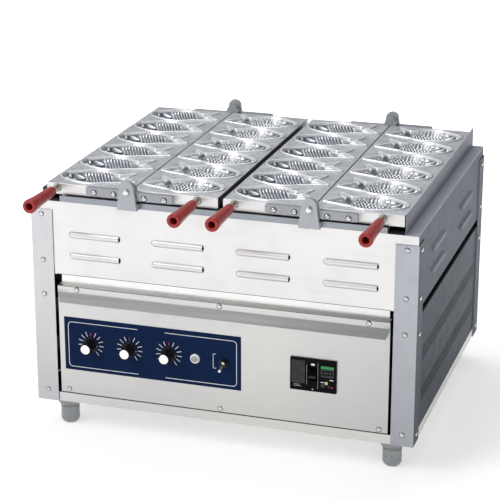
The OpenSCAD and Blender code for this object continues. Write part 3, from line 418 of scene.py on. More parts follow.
class Shape:
    """Collects the faces of one piece, drawn in millimetres on the drawing.

    Attributes:
        datum: where the drawing's zero lies.
    """

    def __init__(self, datum: Datum) -> None:
        self.datum = datum
        self.points: list[np.ndarray] = []
        self.patina: list[np.ndarray] = []
        self.faces: list[tuple[int, ...]] = []
        self.count = 0

    def add(self, points: np.ndarray, faces: list[tuple[int, ...]], patina: np.ndarray | float = 0.0) -> None:
        """Adds points, the faces between them and their patina with painted shade and highlight: how dark or polished
        they are.
        """
        points = np.asarray(points, float).reshape(-1, 3)
        self.faces += [tuple(i + self.count for i in face) for face in faces]
        self.points.append(points)
        self.patina.append(np.broadcast_to(np.ravel(patina), len(points)))
        self.count += len(points)

    def mesh(self, name: str) -> bpy.types.Mesh:
        """The faces as a mesh that carries its patina with painted shade and highlight."""
        mesh = bpy.data.meshes.new(name)
        mesh.from_pydata(self.datum.array(np.concatenate(self.points)).tolist(), [], self.faces)
        mesh.attributes.new("patina", "FLOAT", "POINT").data.foreach_set("value", np.concatenate(self.patina))
        return mesh

    def loops(self, loops: list[np.ndarray], closed: bool = True, start: bool = False, end: bool = False,
              patina: list[float] | None = None) -> None:
        """Joins equal rings of points into a skin.

        Args:
            loops: the rings, in order.
            closed: whether each ring meets its own start.
            start: whether the first ring is filled.
            end: whether the last ring is filled.
            patina: how dark or polished each ring is, patina with painted shade and highlight.
        """
        n = len(loops[0])
        faces = [(k * n + i, k * n + (i + 1) % n, (k + 1) * n + (i + 1) % n, (k + 1) * n + i)
                 for k in range(len(loops) - 1) for i in range(n if closed else n - 1)]
        if start:
            faces.append(tuple(range(n))[::-1])
        if end:
            faces.append(tuple(range((len(loops) - 1) * n, len(loops) * n)))
        self.add(np.concatenate(loops), faces, np.repeat(patina or [0.0] * len(loops), n))

    def slab(self, x: tuple[float, float], y: tuple[float, float], z: tuple[float, float]) -> None:
        """A box between two corners."""
        ring = [(x[0], y[0]), (x[1], y[0]), (x[1], y[1]), (x[0], y[1])]
        self.loops([np.array([(*p, h) for p in ring]) for h in z], start=True, end=True)

    def turned(self, base: Point, along: Axis, profile: list[tuple[float, float]], sides: int = 48,
               lobes: int = 0, lobe: float = 0.0) -> None:
        """A turned piece.

        Args:
            base: middle of its first ring.
            along: its direction.
            profile: radius and distance along it, ring by ring.
            sides: facets round it.
            lobes: waves round the rim, as on a fluted knob.
            lobe: the waves' height as a share of the radius.
        """
        w = along.value
        u = w.orthogonal().normalized()
        v = w.cross(u)
        turns = np.arange(sides) * 2 * math.pi / sides
        wave = 1 + lobe * np.cos(turns * lobes)
        rings = [np.array(base) + np.outer(np.cos(turns) * wave * r, u) + np.outer(np.sin(turns) * wave * r, v)
                 + np.array(w) * h for r, h in profile]
        self.loops(rings, start=True, end=True)

    def pushed(self, outline: list[tuple[float, float]], y: tuple[float, float]) -> None:
        """An outline in the front plane, pushed from one depth to another."""
        self.loops([np.array([(p[0], h, p[1]) for p in outline]) for h in y], start=True, end=True)

    def piece(self, name: str, finish: Finish, bevel: float = 0.0, sharp: float = 35.0) -> bpy.types.Object:
        """The finished piece, merged, turned outwards and softened.

        Args:
            name: the piece's name.
            finish: its finish.
            bevel: width of the softened edges, in millimetres.
            sharp: angle above which an edge stays sharp, in degrees.

        Returns:
            The object, with its place in its mesh.
        """
        return softened(linked(name, self.mesh(name)), finish, bevel, sharp)


def linked(name: str, mesh: bpy.types.Mesh) -> bpy.types.Object:
    """A mesh as an object in the scene."""
    thing = bpy.data.objects.new(name, mesh)
    bpy.context.scene.collection.objects.link(thing)
    return thing


def plain(thing: bpy.types.Object) -> bpy.types.Object:
    """Replaces an object's modifiers by the mesh that they make."""
    bpy.context.view_layer.update()
    graph = bpy.context.evaluated_depsgraph_get()
    made = bpy.data.meshes.new_from_object(thing.evaluated_get(graph), preserve_all_data_layers=True, depsgraph=graph)
    old = thing.data
    thing.modifiers.clear()
    thing.data = made
    made.name = thing.name
    if old.users == 0:
        bpy.data.meshes.remove(old)
    return thing


def outward(mesh: bpy.types.Mesh, merge: float = 1e-6, flat: float = 0.0, turn: bool = True) -> None:
    """Merges a mesh's doubles and turns its faces outwards.

    Args:
        mesh: the mesh.
        merge: distance under which points are merged, in metres.
        flat: angle under which edges between faces dissolve, in radians.
        turn: whether the faces are turned.
    """
    work = bmesh.new()
    work.from_mesh(mesh)
    bmesh.ops.remove_doubles(work, verts=work.verts, dist=merge)
    bmesh.ops.dissolve_degenerate(work, dist=merge, edges=work.edges)
    if turn:
        bmesh.ops.recalc_face_normals(work, faces=work.faces)
    if flat:
        bmesh.ops.dissolve_limit(work, angle_limit=flat, verts=work.verts, edges=work.edges)
    work.to_mesh(mesh)
    work.free()


def softened(thing: bpy.types.Object, finish: Finish, bevel: float, sharp: float = 35.0) -> bpy.types.Object:
    """Merges, bevels and shades a piece, and gives it its finish."""
    mesh = thing.data
    outward(mesh)
    mesh.materials.clear()
    mesh.materials.append(finish.material())
    if bevel:
        edge = thing.modifiers.new("edge", "BEVEL")
        edge.width = bevel * MM
        edge.segments = 2
        edge.limit_method = "ANGLE"
        edge.angle_limit = math.radians(32)
        plain(thing)
    thing.data.shade_smooth()
    thing.data.set_sharp_from_angle(angle=math.radians(sharp))
    if bevel:
        shading = thing.modifiers.new("shading", "WEIGHTED_NORMAL")
        shading.keep_sharp = True
        plain(thing)
    return thing


def second_finish(thing: bpy.types.Object, finish: Finish, chosen: Callable[[Vector, Vector], bool]) -> bpy.types.Object:
    """Gives the faces of a piece that a rule picks another finish.

    Args:
        thing: the piece.
        finish: the finish of the picked faces.
        chosen: the rule, from a face's middle and its normal.

    Returns:
        The piece.
    """
    thing.data.materials.append(finish.material())
    for face in thing.data.polygons:
        if chosen(face.center, face.normal):
            face.material_index = len(thing.data.materials) - 1
    return thing


def joined(name: str, things: list[bpy.types.Object]) -> bpy.types.Object:
    """Several meshes as one piece, each with its own finish."""
    work = bmesh.new()
    finishes: list[bpy.types.Material] = []
    for thing in things:
        part = thing.data
        shift = []
        for material in part.materials:
            if material not in finishes:
                finishes.append(material)
            shift.append(finishes.index(material))
        first = len(work.faces)
        work.from_mesh(part)
        work.faces.ensure_lookup_table()
        for face in work.faces[first:]:
            face.material_index = shift[face.material_index] if shift else 0
    mesh = bpy.data.meshes.new(name)
    work.to_mesh(mesh)
    work.free()
    for material in finishes:
        mesh.materials.append(material)
    for thing in things:
        bpy.data.objects.remove(thing)
    return linked(name, mesh)


def islands(node: str) -> list[tuple[Vector, Vector]]:
    """The box round each loose solid of a node of the frame, in metres."""
    work = bmesh.new()
    work.from_mesh(bpy.data.objects[node].data)
    bmesh.ops.remove_doubles(work, verts=work.verts, dist=1e-6)
    left = set(work.verts)
    boxes = []
    while left:
        group, edge = set(), [left.pop()]
        while edge:
            vert = edge.pop()
            group.add(vert)
            for link in vert.link_edges:
                other = link.other_vert(vert)
                if other in left:
                    left.discard(other)
                    edge.append(other)
        places = np.array([v.co for v in group])
        boxes.append((Vector(places.min(0)), Vector(places.max(0))))
    work.free()
    return boxes


class Repeater:
    """A Geometry Nodes tree that repeats a shape, with named sizes.

    Attributes:
        name: the tree's name.
    """

    def __init__(self, name: str) -> None:
        self.tree = bpy.data.node_groups.new(name, "GeometryNodeTree")
        self.start = self.tree.nodes.new("NodeGroupInput")
        self.keys: dict[str, str] = {}
        self.socket("Geometry", "NodeSocketGeometry")
        self.tree.interface.new_socket("Geometry", in_out="OUTPUT", socket_type="NodeSocketGeometry")

    def socket(self, name: str, kind: str) -> None:
        """Adds a named input."""
        self.keys[name] = self.tree.interface.new_socket(name, in_out="INPUT", socket_type=kind).identifier

    def node(self, kind: str, inputs: dict | None = None, **settings: object) -> bpy.types.Node:
        """Adds a node; a text value names one of the tree's inputs."""
        made = self.tree.nodes.new(kind)
        for key, value in settings.items():
            setattr(made, key, value)
        for key, value in (inputs or {}).items():
            if isinstance(value, str) and value in self.keys:
                value = self.start.outputs[value]
            if isinstance(value, bpy.types.NodeSocket):
                self.tree.links.new(value, made.inputs[key])
            else:
                made.inputs[key].default_value = value
        return made

    def close(self, instances: bpy.types.NodeSocket, merge: float = 0.0) -> None:
        """Realizes the instances, sets the finish and ends the tree."""
        real = self.node("GeometryNodeRealizeInstances", {0: instances})
        if merge:
            real = self.node("GeometryNodeMergeByDistance", {0: real.outputs[0], "Distance": merge})
        dressed = self.node("GeometryNodeSetMaterial", {0: real.outputs[0], "Material": "Finish"})
        out = self.tree.nodes.new("NodeGroupOutput")
        self.tree.links.new(dressed.outputs[0], out.inputs[0])

    def run(self, name: str, mesh: bpy.types.Mesh, sharp: float = 35.0, **values: object) -> bpy.types.Object:
        """Runs the tree on a mesh.

        Args:
            name: the new piece's name.
            mesh: what goes into the tree.
            sharp: angle above which an edge stays sharp, in degrees.
            values: the named inputs, with spaces written as underscores.

        Returns:
            A plain mesh object.
        """
        thing = linked(name, mesh)
        modifier = thing.modifiers.new(name, "NODES")
        modifier.node_group = self.tree
        for key, value in values.items():
            modifier[self.keys[key.replace("_", " ")]] = value
        plain(thing)
        thing.data.shade_smooth()
        thing.data.set_sharp_from_angle(angle=math.radians(sharp))
        return thing

    @classmethod
    def fasteners(cls) -> "Repeater":
        """One shape on every point, standing along the point's facing and spun at random."""
        made = cls("fasteners")
        for name, kind in (("Shape", "NodeSocketObject"), ("Head Radius", "NodeSocketFloat"),
                           ("Head Height", "NodeSocketFloat"), ("Spin", "NodeSocketFloat"),
                           ("Finish", "NodeSocketMaterial")):
            made.socket(name, kind)
        shape = made.node("GeometryNodeObjectInfo", {"Object": "Shape"})
        facing = made.node("GeometryNodeInputNamedAttribute", {"Name": "facing"}, data_type="FLOAT_VECTOR")
        stand = made.node("FunctionNodeAlignRotationToVector", {"Vector": facing.outputs[0]}, axis="Z")
        spin = made.node("FunctionNodeRandomValue", {"Max": "Spin", "Seed": 7}, data_type="FLOAT")
        turn = made.node("FunctionNodeAxisAngleToRotation", {"Axis": (0, 0, 1), "Angle": spin.outputs["Value"]})
        both = made.node("FunctionNodeRotateRotation", {0: stand.outputs[0], 1: turn.outputs[0]}, rotation_space="LOCAL")
        size = made.node("ShaderNodeCombineXYZ", {0: "Head Radius", 1: "Head Radius", 2: "Head Height"})
        spread = made.node("GeometryNodeInstanceOnPoints", {"Points": "Geometry", "Instance": shape.outputs["Geometry"],
                                                            "Rotation": both.outputs[0], "Scale": size.outputs[0]})
        made.close(spread.outputs[0])
        return made

    @classmethod
    def row(cls) -> "Repeater":
        """The shape that goes in, repeated in a straight row."""
        made = cls("row")
        for name, kind in (("Count", "NodeSocketInt"), ("Step", "NodeSocketVector"), ("Merge", "NodeSocketFloat"),
                           ("Finish", "NodeSocketMaterial")):
            made.socket(name, kind)
        line = made.node("GeometryNodeMeshLine", {"Count": "Count", "Offset": "Step"}, mode="OFFSET")
        spread = made.node("GeometryNodeInstanceOnPoints", {"Points": line.outputs[0], "Instance": "Geometry"})
        real = made.node("GeometryNodeRealizeInstances", {0: spread.outputs[0]})
        merged = made.node("GeometryNodeMergeByDistance", {0: real.outputs[0], "Distance": "Merge"})
        made.close(merged.outputs[0])
        return made

    @classmethod
    def ring(cls) -> "Repeater":
        """The shape that goes in, repeated round an axis along the depth."""
        made = cls("ring")
        for name, kind in (("Count", "NodeSocketInt"), ("Start", "NodeSocketFloat"), ("Step", "NodeSocketFloat"),
                           ("Middle", "NodeSocketVector"), ("Finish", "NodeSocketMaterial")):
            made.socket(name, kind)
        spots = made.node("GeometryNodePoints", {"Count": "Count", "Position": "Middle"})
        index = made.node("GeometryNodeInputIndex")
        swept = made.node("ShaderNodeMath", {0: index.outputs[0], 1: "Step"}, operation="MULTIPLY")
        angle = made.node("ShaderNodeMath", {0: swept.outputs[0], 1: "Start"}, operation="ADD")
        turn = made.node("ShaderNodeCombineXYZ", {1: angle.outputs[0]})
        spread = made.node("GeometryNodeInstanceOnPoints", {"Points": spots.outputs[0], "Instance": "Geometry",
                                                            "Rotation": turn.outputs[0]})
        made.close(spread.outputs[0])
        return made


def facing_points(name: str, places: list[tuple[Vector, Vector]]) -> bpy.types.Mesh:
    """Points that carry the direction in which a fastener stands on them."""
    mesh = bpy.data.meshes.new(name)
    mesh.from_pydata([tuple(p) for p, _ in places], [], [])
    facing = mesh.attributes.new("facing", "FLOAT_VECTOR", "POINT")
    facing.data.foreach_set("vector", np.array([tuple(d) for _, d in places]).ravel())
    return mesh


class Workshop:
    """What every sub-assembly shares: the datum, the repeaters and the log."""

    def __init__(self, datum: Datum) -> None:
        self.datum = datum
        self.fasteners = Repeater.fasteners()
        self.row = Repeater.row()
        self.ring = Repeater.ring()
        self.stock: dict[str, bpy.types.Object] = {}

    def shape(self) -> Shape:
        """A new, empty shape."""
        return Shape(self.datum)

    def send(self, thing: bpy.types.Object, body: str, slot: str, *nodes: str) -> None:
        """Puts a finished piece on its body.

        Args:
            thing: the piece.
            body: the body that it rides on.
            slot: the material slot that it takes its finish from; not used.
            nodes: the frame's nodes that it stands for.
        """
        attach(thing, body)
        if nodes:
            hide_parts(*nodes)
        LOG.info("%s: %d faces, rides on %s", thing.name, len(thing.data.polygons), body)

    def dressed_copy(self, node: str, finish: Finish, bevel: float = 0.5, sharp: float = 35.0) -> bpy.types.Object:
        """A node's own shape with softened edges."""
        mesh = bpy.data.objects[node].data.copy()
        outward(mesh, 2e-6, 0.012, turn=False)
        if "custom_normal" in mesh.attributes:
            mesh.attributes.remove(mesh.attributes["custom_normal"])
        return softened(linked(node.replace("_", " ").title().replace(" ", "") + "Look", mesh), finish, bevel, sharp)

    def screw_head(self, sides: int = 20) -> bpy.types.Object:
        """A domed head with a cross recess, one unit wide and high, kept out of the scene."""
        if "screw" in self.stock:
            return self.stock["screw"]
        rings = [(1.0, 0.0), (1.0, 0.25), (0.93, 0.52), (0.76, 0.78), (0.5, 0.95), (0.24, 1.0)]
        turns = np.arange(sides) * 2 * math.pi / sides
        points = [(r * math.cos(t), r * math.sin(t), h) for r, h in rings for t in turns]
        faces = [(k * sides + i, k * sides + (i + 1) % sides, (k + 1) * sides + (i + 1) % sides, (k + 1) * sides + i)
                 for k in range(len(rings) - 1) for i in range(sides)]
        faces.append(tuple(range((len(rings) - 1) * sides, len(rings) * sides)))
        faces.append(tuple(range(sides))[::-1])
        mesh = bpy.data.meshes.new("screw head")
        mesh.from_pydata(points, [], faces)
        work = bmesh.new()
        work.from_mesh(mesh)
        for face in [f for f in work.faces if f.calc_center_median().z > 0.9 and len(f.verts) > 4]:
            bmesh.ops.inset_individual(work, faces=[face], thickness=0.04)
            bmesh.ops.translate(work, verts=face.verts[:], vec=(0, 0, -0.4))
        work.to_mesh(mesh)
        work.free()
        thing = bpy.data.objects.new("screw head", mesh)
        self.stock["screw"] = thing
        return thing

    def screws(self, name: str, places: list[tuple[Vector, Vector]], radius: float, height: float,
               finish: Finish) -> bpy.types.Object:
        """Domed screws on dark rings painted as their contact shadow, standing on a set of places, sizes in
        millimetres.
        """
        return joined(name, [self.fasteners.run(name, facing_points(name, places), Shape=self.screw_head(),
                                                Head_Radius=radius * wide * MM, Head_Height=height * tall * MM,
                                                Spin=2 * math.pi, Finish=skin.material())
                             for wide, tall, skin in ((1.0, 1.0, finish), (1.17, 0.16, SEAT_SHADOW))])


def ridge(x: np.ndarray, width: float) -> np.ndarray:
    """A rounded line where x is zero."""
    return np.exp(-(x / width) ** 2)


def fade(x: np.ndarray, low: float, high: float) -> np.ndarray:
    """A soft step from nought to one; it falls where low is the larger."""
    t = np.clip((x - low) / (high - low), 0, 1)
    return t * t * (3 - 2 * t)


def lines(x: np.ndarray, pitch: float) -> np.ndarray:
    """Distance to the nearest of evenly spaced lines."""
    return (x / pitch - np.round(x / pitch)) * pitch


Relief = tuple[np.ndarray | float, np.ndarray | float, np.ndarray]


class Flank(Enum):
    """The two halves of the fish: one on the left plates, one on the right plates."""

    BARRED = "slanted bars and a smooth tail"
    NETTED = "upright bars, a net of scales and a rayed tail"


@dataclass
class FishMould:
    """Shape of one fish hollow, seen from above with the snout at zero.

    Attributes:
        flank: which half of the fish it casts.
        length: snout to the lower tail tip.
        fin_depth: depth of the fins and tail.
        fork: depth of the tail's fork.
        upper: how far the upper tail tip stays short of the lower one.
        root: where the tail starts.
        draft: width of the wall under the rim.
        stations: distance, back fin, belly fin, back, belly and depth along the fish.
    """

    flank: Flank = Flank.BARRED
    length: float = 154.0
    fin_depth: float = 5.0
    fork: float = 28.0
    upper: float = 18.0
    root: float = 105.0
    draft: float = 2.4
    stations: tuple[tuple[float, ...], ...] = (
        (0, 6, -7, 3, -4, 5.5), (5, 14, -14, 10, -11, 9), (13, 21, -22, 18, -18, 12.5), (24, 29, -29, 25, -25, 15.5),
        (36, 36, -35, 30, -30, 17), (48, 42, -39, 33, -32, 17.5), (60, 44, -41, 33, -32, 17.5),
        (74, 43, -42, 31, -31, 17), (88, 37, -38, 26, -27, 15.5), (100, 29, -31, 20, -21, 13),
        (112, 24, -27, 14, -15, 10.5), (122, 27, -24, 11, -12, 8.5), (132, 32, -21, 9, -11, 7),
        (143, 38, -18, 8, -10, 6), (154, 43, -14, 7, -9, 5.5))

    def measure(self, s: np.ndarray, column: int) -> np.ndarray:
        """One of the stations' columns at any distance, on a smooth curve."""
        table = np.array(self.stations)
        i = np.clip(np.searchsorted(table[:, 0], s, side="left") - 1, 0, len(table) - 2)
        t = (s - table[i, 0]) / (table[i + 1, 0] - table[i, 0])
        a, b, c, d = (table[np.clip(i + k, 0, len(table) - 1), column] for k in (-1, 0, 1, 2))
        return b + 0.5 * t * (c - a + t * (2 * a - 5 * b + 4 * c - d + t * (3 * (b - c) + d - a)))

    def grid(self, along: int = 158, across: int = 61) -> tuple[np.ndarray, np.ndarray, np.ndarray]:
        """Places of the hollow's grid.

        Args:
            along: samples between the snout and the tail.
            across: samples between the two walls.

        Returns:
            Distance along, place on the plate along, and place across, each as a grid.
        """
        end = self.length
        s = np.concatenate([[0, 0.3, 0.8, 1.5, 2.4, 3.5, 4.7], np.linspace(6, end - 3, along),
                            end - np.array([2.2, 1.5, 0.9, 0.4, 0])])
        round_snout = np.sqrt(1 - (1 - np.clip(s / 6, 0, 1)) ** 2)
        top, low = self.measure(s, 1) * round_snout, self.measure(s, 2) * round_snout
        wide = top - low
        steps = np.minimum(np.outer(np.ones_like(s), [0, 0.35, 0.8, 1.3, 1.9, 2.6]),
                           np.outer(wide, [0, 0.03, 0.06, 0.09, 0.12, 0.15]))
        inner = np.linspace(0, 1, across)[1:-1]
        middle = low[:, None] + steps[:, -1:] + inner * (wide[:, None] - 2 * steps[:, -1:])
        v = np.concatenate([low[:, None] + steps, middle, (top[:, None] - steps)[:, ::-1]], axis=1)
        half = np.maximum(wide[:, None] / 2, 1e-3)
        off = (v - (top + low)[:, None] / 2) / half
        shift = np.where(off > 0, self.fork + (self.upper - self.fork) * off, self.fork * (1 + off))
        u = s[:, None] - shift * np.clip((s - self.root) / (end - self.root), 0, 1)[:, None]
        return np.repeat(s[:, None], v.shape[1], 1), u, v

    def rim(self, u: np.ndarray, v: np.ndarray) -> np.ndarray:
        """The hollow's outline, round from the snout along the belly."""
        return np.concatenate([np.stack([u[:, 0], v[:, 0]], 1), np.stack([u[-1, 1:], v[-1, 1:]], 1),
                               np.stack([u[-2:0:-1, -1], v[-2:0:-1, -1]], 1)])

    def hollow(self, s: np.ndarray, u: np.ndarray, v: np.ndarray) -> tuple[np.ndarray, np.ndarray]:
        """The carved hollow.

        Args:
            s: distance along the fish.
            u: place along the fish on the plate.
            v: place across.

        Returns:
            Heights below the parting face, and how dark the metal is: soot with painted shade, and painted highlight
            where negative.
        """
        rim = self.rim(u, v)
        fine = np.concatenate([rim + (np.roll(rim, -1, 0) - rim) * k / 3 for k in range(3)])
        spots = np.stack([u.ravel(), v.ravel()], 1)
        away = np.array([np.sqrt(((fine - p) ** 2).sum(1).min()) for p in spots]).reshape(u.shape)
        wall = fade(away, 0, self.draft)
        back, belly, deep = (self.measure(s, k) for k in (3, 4, 5))
        q = (v - (back + belly) / 2) / ((back - belly) / 2)
        body = np.clip(1 - np.abs(q) ** 2.2, 0, 1) ** 0.6
        floor = self.fin_depth + np.maximum(deep - self.fin_depth, 0) * body
        girth = 0.45 * v + np.sign(q) * (deep - floor)
        carved, soot_shade_highlight = np.zeros_like(u), np.full_like(u, 0.10)
        for high, shade, share in (*self.carving(s, u, v, girth), *self.head(s, v, away)):
            carved = carved + high * share
            soot_shade_highlight = soot_shade_highlight * (1 - share) + shade * share
        # Painted shade: darker deep in the body.
        soot_shade_highlight = soot_shade_highlight + 0.25 * body * fade(soot_shade_highlight, -0.2, 0.2)
        # Painted highlight: lighter next to the outline, where inside falls to nought.
        inside = fade(away, 0.8, 2.6)
        return wall * (fade(away, 1.0, 3.2) * carved - floor), inside * np.clip(soot_shade_highlight, -1, 1) + 0.85 * (inside - 1)

    def carving(self, s: np.ndarray, u: np.ndarray, v: np.ndarray, girth: np.ndarray) -> list[Relief]:
        """Scales, fins and tail.

        Args:
            s: distance along the fish.
            u: place along the fish on the plate.
            v: place across.
            girth: way round the hollow's section.

        Returns:
            Height over the smooth hollow, how dark the metal is (soot with painted shade, painted highlight below
            nought), and where it counts, one by one.
        """
        if self.flank is Flank.BARRED:
            # Ridges take painted highlights and grooves soot with painted shade.
            skew = s + 0.3 * v
            bars = ridge(lines(s + 0.62 * v, 6.3), 1.4)
            streaks = ridge(lines(v - 0.10 * s, 6.5), 1.6)
            return [(2.6 * bars - 1.2, 1.1 - 1.9 * bars, fade(skew, 49, 54) * fade(skew, 104, 98)),
                    (0.9 * streaks - 0.3, 0.55 - 0.6 * streaks, fade(skew, 100, 106) * fade(s, 128, 120)),
                    (0.8 * streaks, 0.42 - 1.0 * streaks, fade(s, 120, 128))]
        upper = fade(v, 25.5, 28.5)
        net = np.maximum(ridge(lines(s + 0.8 * girth, 6.8), 1.15), ridge(lines(s - 0.8 * girth, 6.8), 1.15))
        bars = ridge(lines(s - 66, 7.6), 2.3)
        rays = ridge(lines(u + 0.5 * v, 6.4), 1.5)
        # Painted light and shade on the tail's scoop: bright on its near wall, dark towards the far one, bright again
        # at its edge.
        scoop = np.hypot((u - 117) / 1.25, v - 22)
        shade = 1.3 * fade(u, 100, 116) - 0.35 - 1.5 * fade(u, 121, 127)
        # The upper wall between s 48 and 63 is a raised band with a painted highlight.
        return [(2.4 * net - 1.3, 0.98 - 1.7 * net, (1 - upper) * fade(s, 36, 42) * fade(s, 116, 108)),
                (1.8 * bars - 0.9, 0.72 - 1.15 * bars, upper * fade(s, 62, 65) * fade(s, 108, 103)),
                (1.2, -1.0, upper * fade(s, 48, 52) * fade(s, 63, 60)),
                (1.4 * rays - 0.6, 0.6 - 1.2 * rays, fade(s, 112, 118) * fade(v, 9, 4)),
                (-2.2 * ridge(scoop, 11), shade, fade(s, 100, 106) * fade(v, 3, 8))]

    def head(self, s: np.ndarray, v: np.ndarray, away: np.ndarray) -> list[Relief]:
        """Eye, cheek, gill, mouth and the painted shadow line under the far rim.

        Args:
            s: distance along the fish.
            v: place across.
            away: distance from the hollow's outline.

        Returns:
            Height over the smooth hollow, how dark the metal is (soot with painted shade, painted highlight below
            nought), and where it counts, one by one.
        """
        cheek = np.hypot((s - 28) / 13.0, (v - 19.5) / 6.0)
        jaw = np.hypot((s - 25) / 14.0, (v + 6) / 12.0)
        eye = np.hypot((s - 11.5) / 1.15, v - 14)
        gill = s - 45 + 9 * ((v - 6) / 26) ** 2
        front = fade(s, 50, 44)
        return [(0.0, 0.30, front),
                # Painted shadow: a dark line under the head's far rim.
                (-1.0, 0.95, ridge(away - 2.9, 1.0) * fade(v, 6, 12) * fade(s, 8, 14) * fade(s, 50, 44)),
                (1.4, 0.55, fade(cheek, 1.0, 0.8)),
                # Cheek line, eye boss and gill ridge carry painted highlights; their grooves soot with painted shade.
                (0.6, -0.5, ridge(v - 20.5, 1.1) * fade(cheek, 0.8, 0.6)),
                (-0.8, 0.95, ridge((cheek - 1) * 7, 1.3)),
                (1.2, 0.0, fade(jaw, 1.0, 0.8)),
                (-0.8, 0.8, ridge((jaw - 1) * 11, 1.3) * fade(v, 14, 10)),
                (-1.4, 0.95, ridge(eye - 4.0, 1.1)),
                (1.8, -1.0, fade(eye, 3.0, 1.4)),
                (1.4, -0.6, ridge(gill, 1.5)),
                (-1.4, 0.9, ridge(gill - 2.6, 1.2)),
                (-1.4, 0.8, ridge(v - 1.5 + 0.25 * s, 1.0) * fade(s, 15, 10))]


@dataclass
class MouldPlates:
    """The four cast plates with their fish moulds.

    Attributes:
        wide: width of a plate.
        start: front end of a plate.
        end: back end of a plate.
        face: height of the parting face.
        pitch: distance between moulds.
        count: moulds on a plate.
        flat: how far the flats lie under the parting face.
        web: underside of the web, under the parting face.
        tall: height of a plate.
        snout: distance of the snouts from the outer edge.
        side_skirt: thickness of the skirt at the sides.
        end_skirt: thickness of the skirt at the ends, up to the first mould's field.
        edge: radius of the plate's rounded edges.
        bead: the rim's section as distance from the hollow, height and patina: a polished top with painted highlight
            and painted shadow at its foot.
        hinge_x: distance of the hinge lines from the middle.
    """

    shop: Workshop
    wide: float = 172.0
    start: float = 11.0
    end: float = 619.0
    face: float = 450.0
    pitch: float = 98.0
    count: int = 6
    flat: float = 2.5
    web: float = 9.5
    tall: float = 24.0
    snout: float = 8.0
    side_skirt: float = 6.0
    end_skirt: float = 10.0
    edge: float = 1.2
    gap: float = 0.8
    hinge_x: float = 177.2
    # Painted highlight on the bead's top and painted shadow at its foot, in the third column.
    bead: tuple[Point, ...] = ((0, 0, -0.6), (0.5, 0.12, -1), (1.6, 0.15, -1), (2.4, 0, -1), (3.0, -0.5, -1),
                               (3.4, -1.2, -0.9), (3.8, -2.0, -0.3), (4.3, -2.4, 0.8), (5, -2.5, 0.3))

    def __post_init__(self) -> None:
        """Spaces the samples that neighbouring faces share."""
        self.share = np.linspace(0, 1, 17)
        self.steps = np.linspace(-self.pitch / 2, self.pitch / 2, 11)

    def across(self, inset: float) -> np.ndarray:
        """Shared samples across the plate, inset from its edges."""
        return self.gap + inset + self.share * (self.wide - self.gap - 2 * inset)

    def offset(self, rim: np.ndarray, by: float) -> np.ndarray:
        """The fish's outline moved outward, with rounded corners."""
        along = np.roll(rim, -1, 0) - np.roll(rim, 1, 0)
        side = np.stack([along[:, 1], -along[:, 0]], 1)
        for _ in range(3):
            side = side / np.linalg.norm(side, axis=1, keepdims=True)
            side = side + np.roll(side, 1, 0) + np.roll(side, -1, 0)
        return rim + side / np.linalg.norm(side, axis=1, keepdims=True) * by

    def lift(self, flat: np.ndarray, z: float) -> np.ndarray:
        """Points of the fish's plan as points of the cell, snout outwards."""
        return np.stack([self.wide - self.snout - flat[:, 0], flat[:, 1] - 2, np.full(len(flat), z)], 1)

    def field(self, shape: Shape, inset: float, hole: np.ndarray, z: float) -> None:
        """The flat between a fish's outline and the edges of its cell."""
        us = self.across(inset)
        ring = ([(u, self.steps[0]) for u in us] + [(us[-1], v) for v in self.steps[1:]]
                + [(u, self.steps[-1]) for u in us[-2::-1]] + [(us[0], v) for v in self.steps[-2:0:-1]])
        n, m = len(ring), len(hole)
        places = [Vector(p) for p in ring] + [Vector((p[0], p[1])) for p in hole]
        edges = [(i, (i + 1) % n) for i in range(n)] + [(n + i, n + (i + 1) % m) for i in range(m)]
        verts, _, faces, *_ = delaunay_2d_cdt(places, edges, [], 1, 1e-5)
        around = np.array([tuple(p[:2]) for p in hole])
        ahead = np.roll(around, -1, 0)
        kept = []
        for face in faces:
            x, y = np.mean([tuple(verts[i]) for i in face], axis=0)
            with np.errstate(divide="ignore", invalid="ignore"):
                cut = around[:, 0] + (y - around[:, 1]) / (ahead[:, 1] - around[:, 1]) * (ahead[:, 0] - around[:, 0])
            if not np.sum(((around[:, 1] > y) != (ahead[:, 1] > y)) & (x < cut)) % 2:
                kept.append(tuple(face))
        shape.add(np.array([(*v, z) for v in verts]), kept)

    def cell(self, mould: FishMould) -> bpy.types.Mesh:
        """One mould with its rim, its field and the bulge under it, middle of the cell at zero."""
        shape = Shape(Datum(0.0, 0.0))
        s, u, v = mould.grid()
        z, soot_shade_highlight = mould.hollow(s, u, v)
        rows, cols = u.shape
        points = np.stack([self.wide - self.snout - u, v - 2, z], 2).reshape(-1, 3)
        shape.add(points, [(i * cols + j, i * cols + j + 1, (i + 1) * cols + j + 1, (i + 1) * cols + j)
                           for i in range(rows - 1) for j in range(cols - 1)], soot_shade_highlight)
        rim = mould.rim(u, v)
        loops = [self.lift(self.offset(rim, by), h) for by, h, _ in self.bead]
        shape.loops(loops, patina=[shine for *_, shine in self.bead])
        self.field(shape, self.edge, loops[-1], -self.flat)
        low = rim[::4]
        reach = self.wide - self.side_skirt - 0.5
        under = [self.lift(self.offset(low, by), h) for by, h in ((3, -self.web), (3, -17.5), (1.6, -20), (0, -21))]
        for loop in under:
            loop[:, 0] = np.clip(loop[:, 0], self.side_skirt + 1.2, reach)
        shape.loops(under, end=True)
        self.field(shape, self.side_skirt, under[0], -self.web)
        mesh = shape.mesh("mould")
        outward(mesh, 2e-6, turn=False)
        return mesh

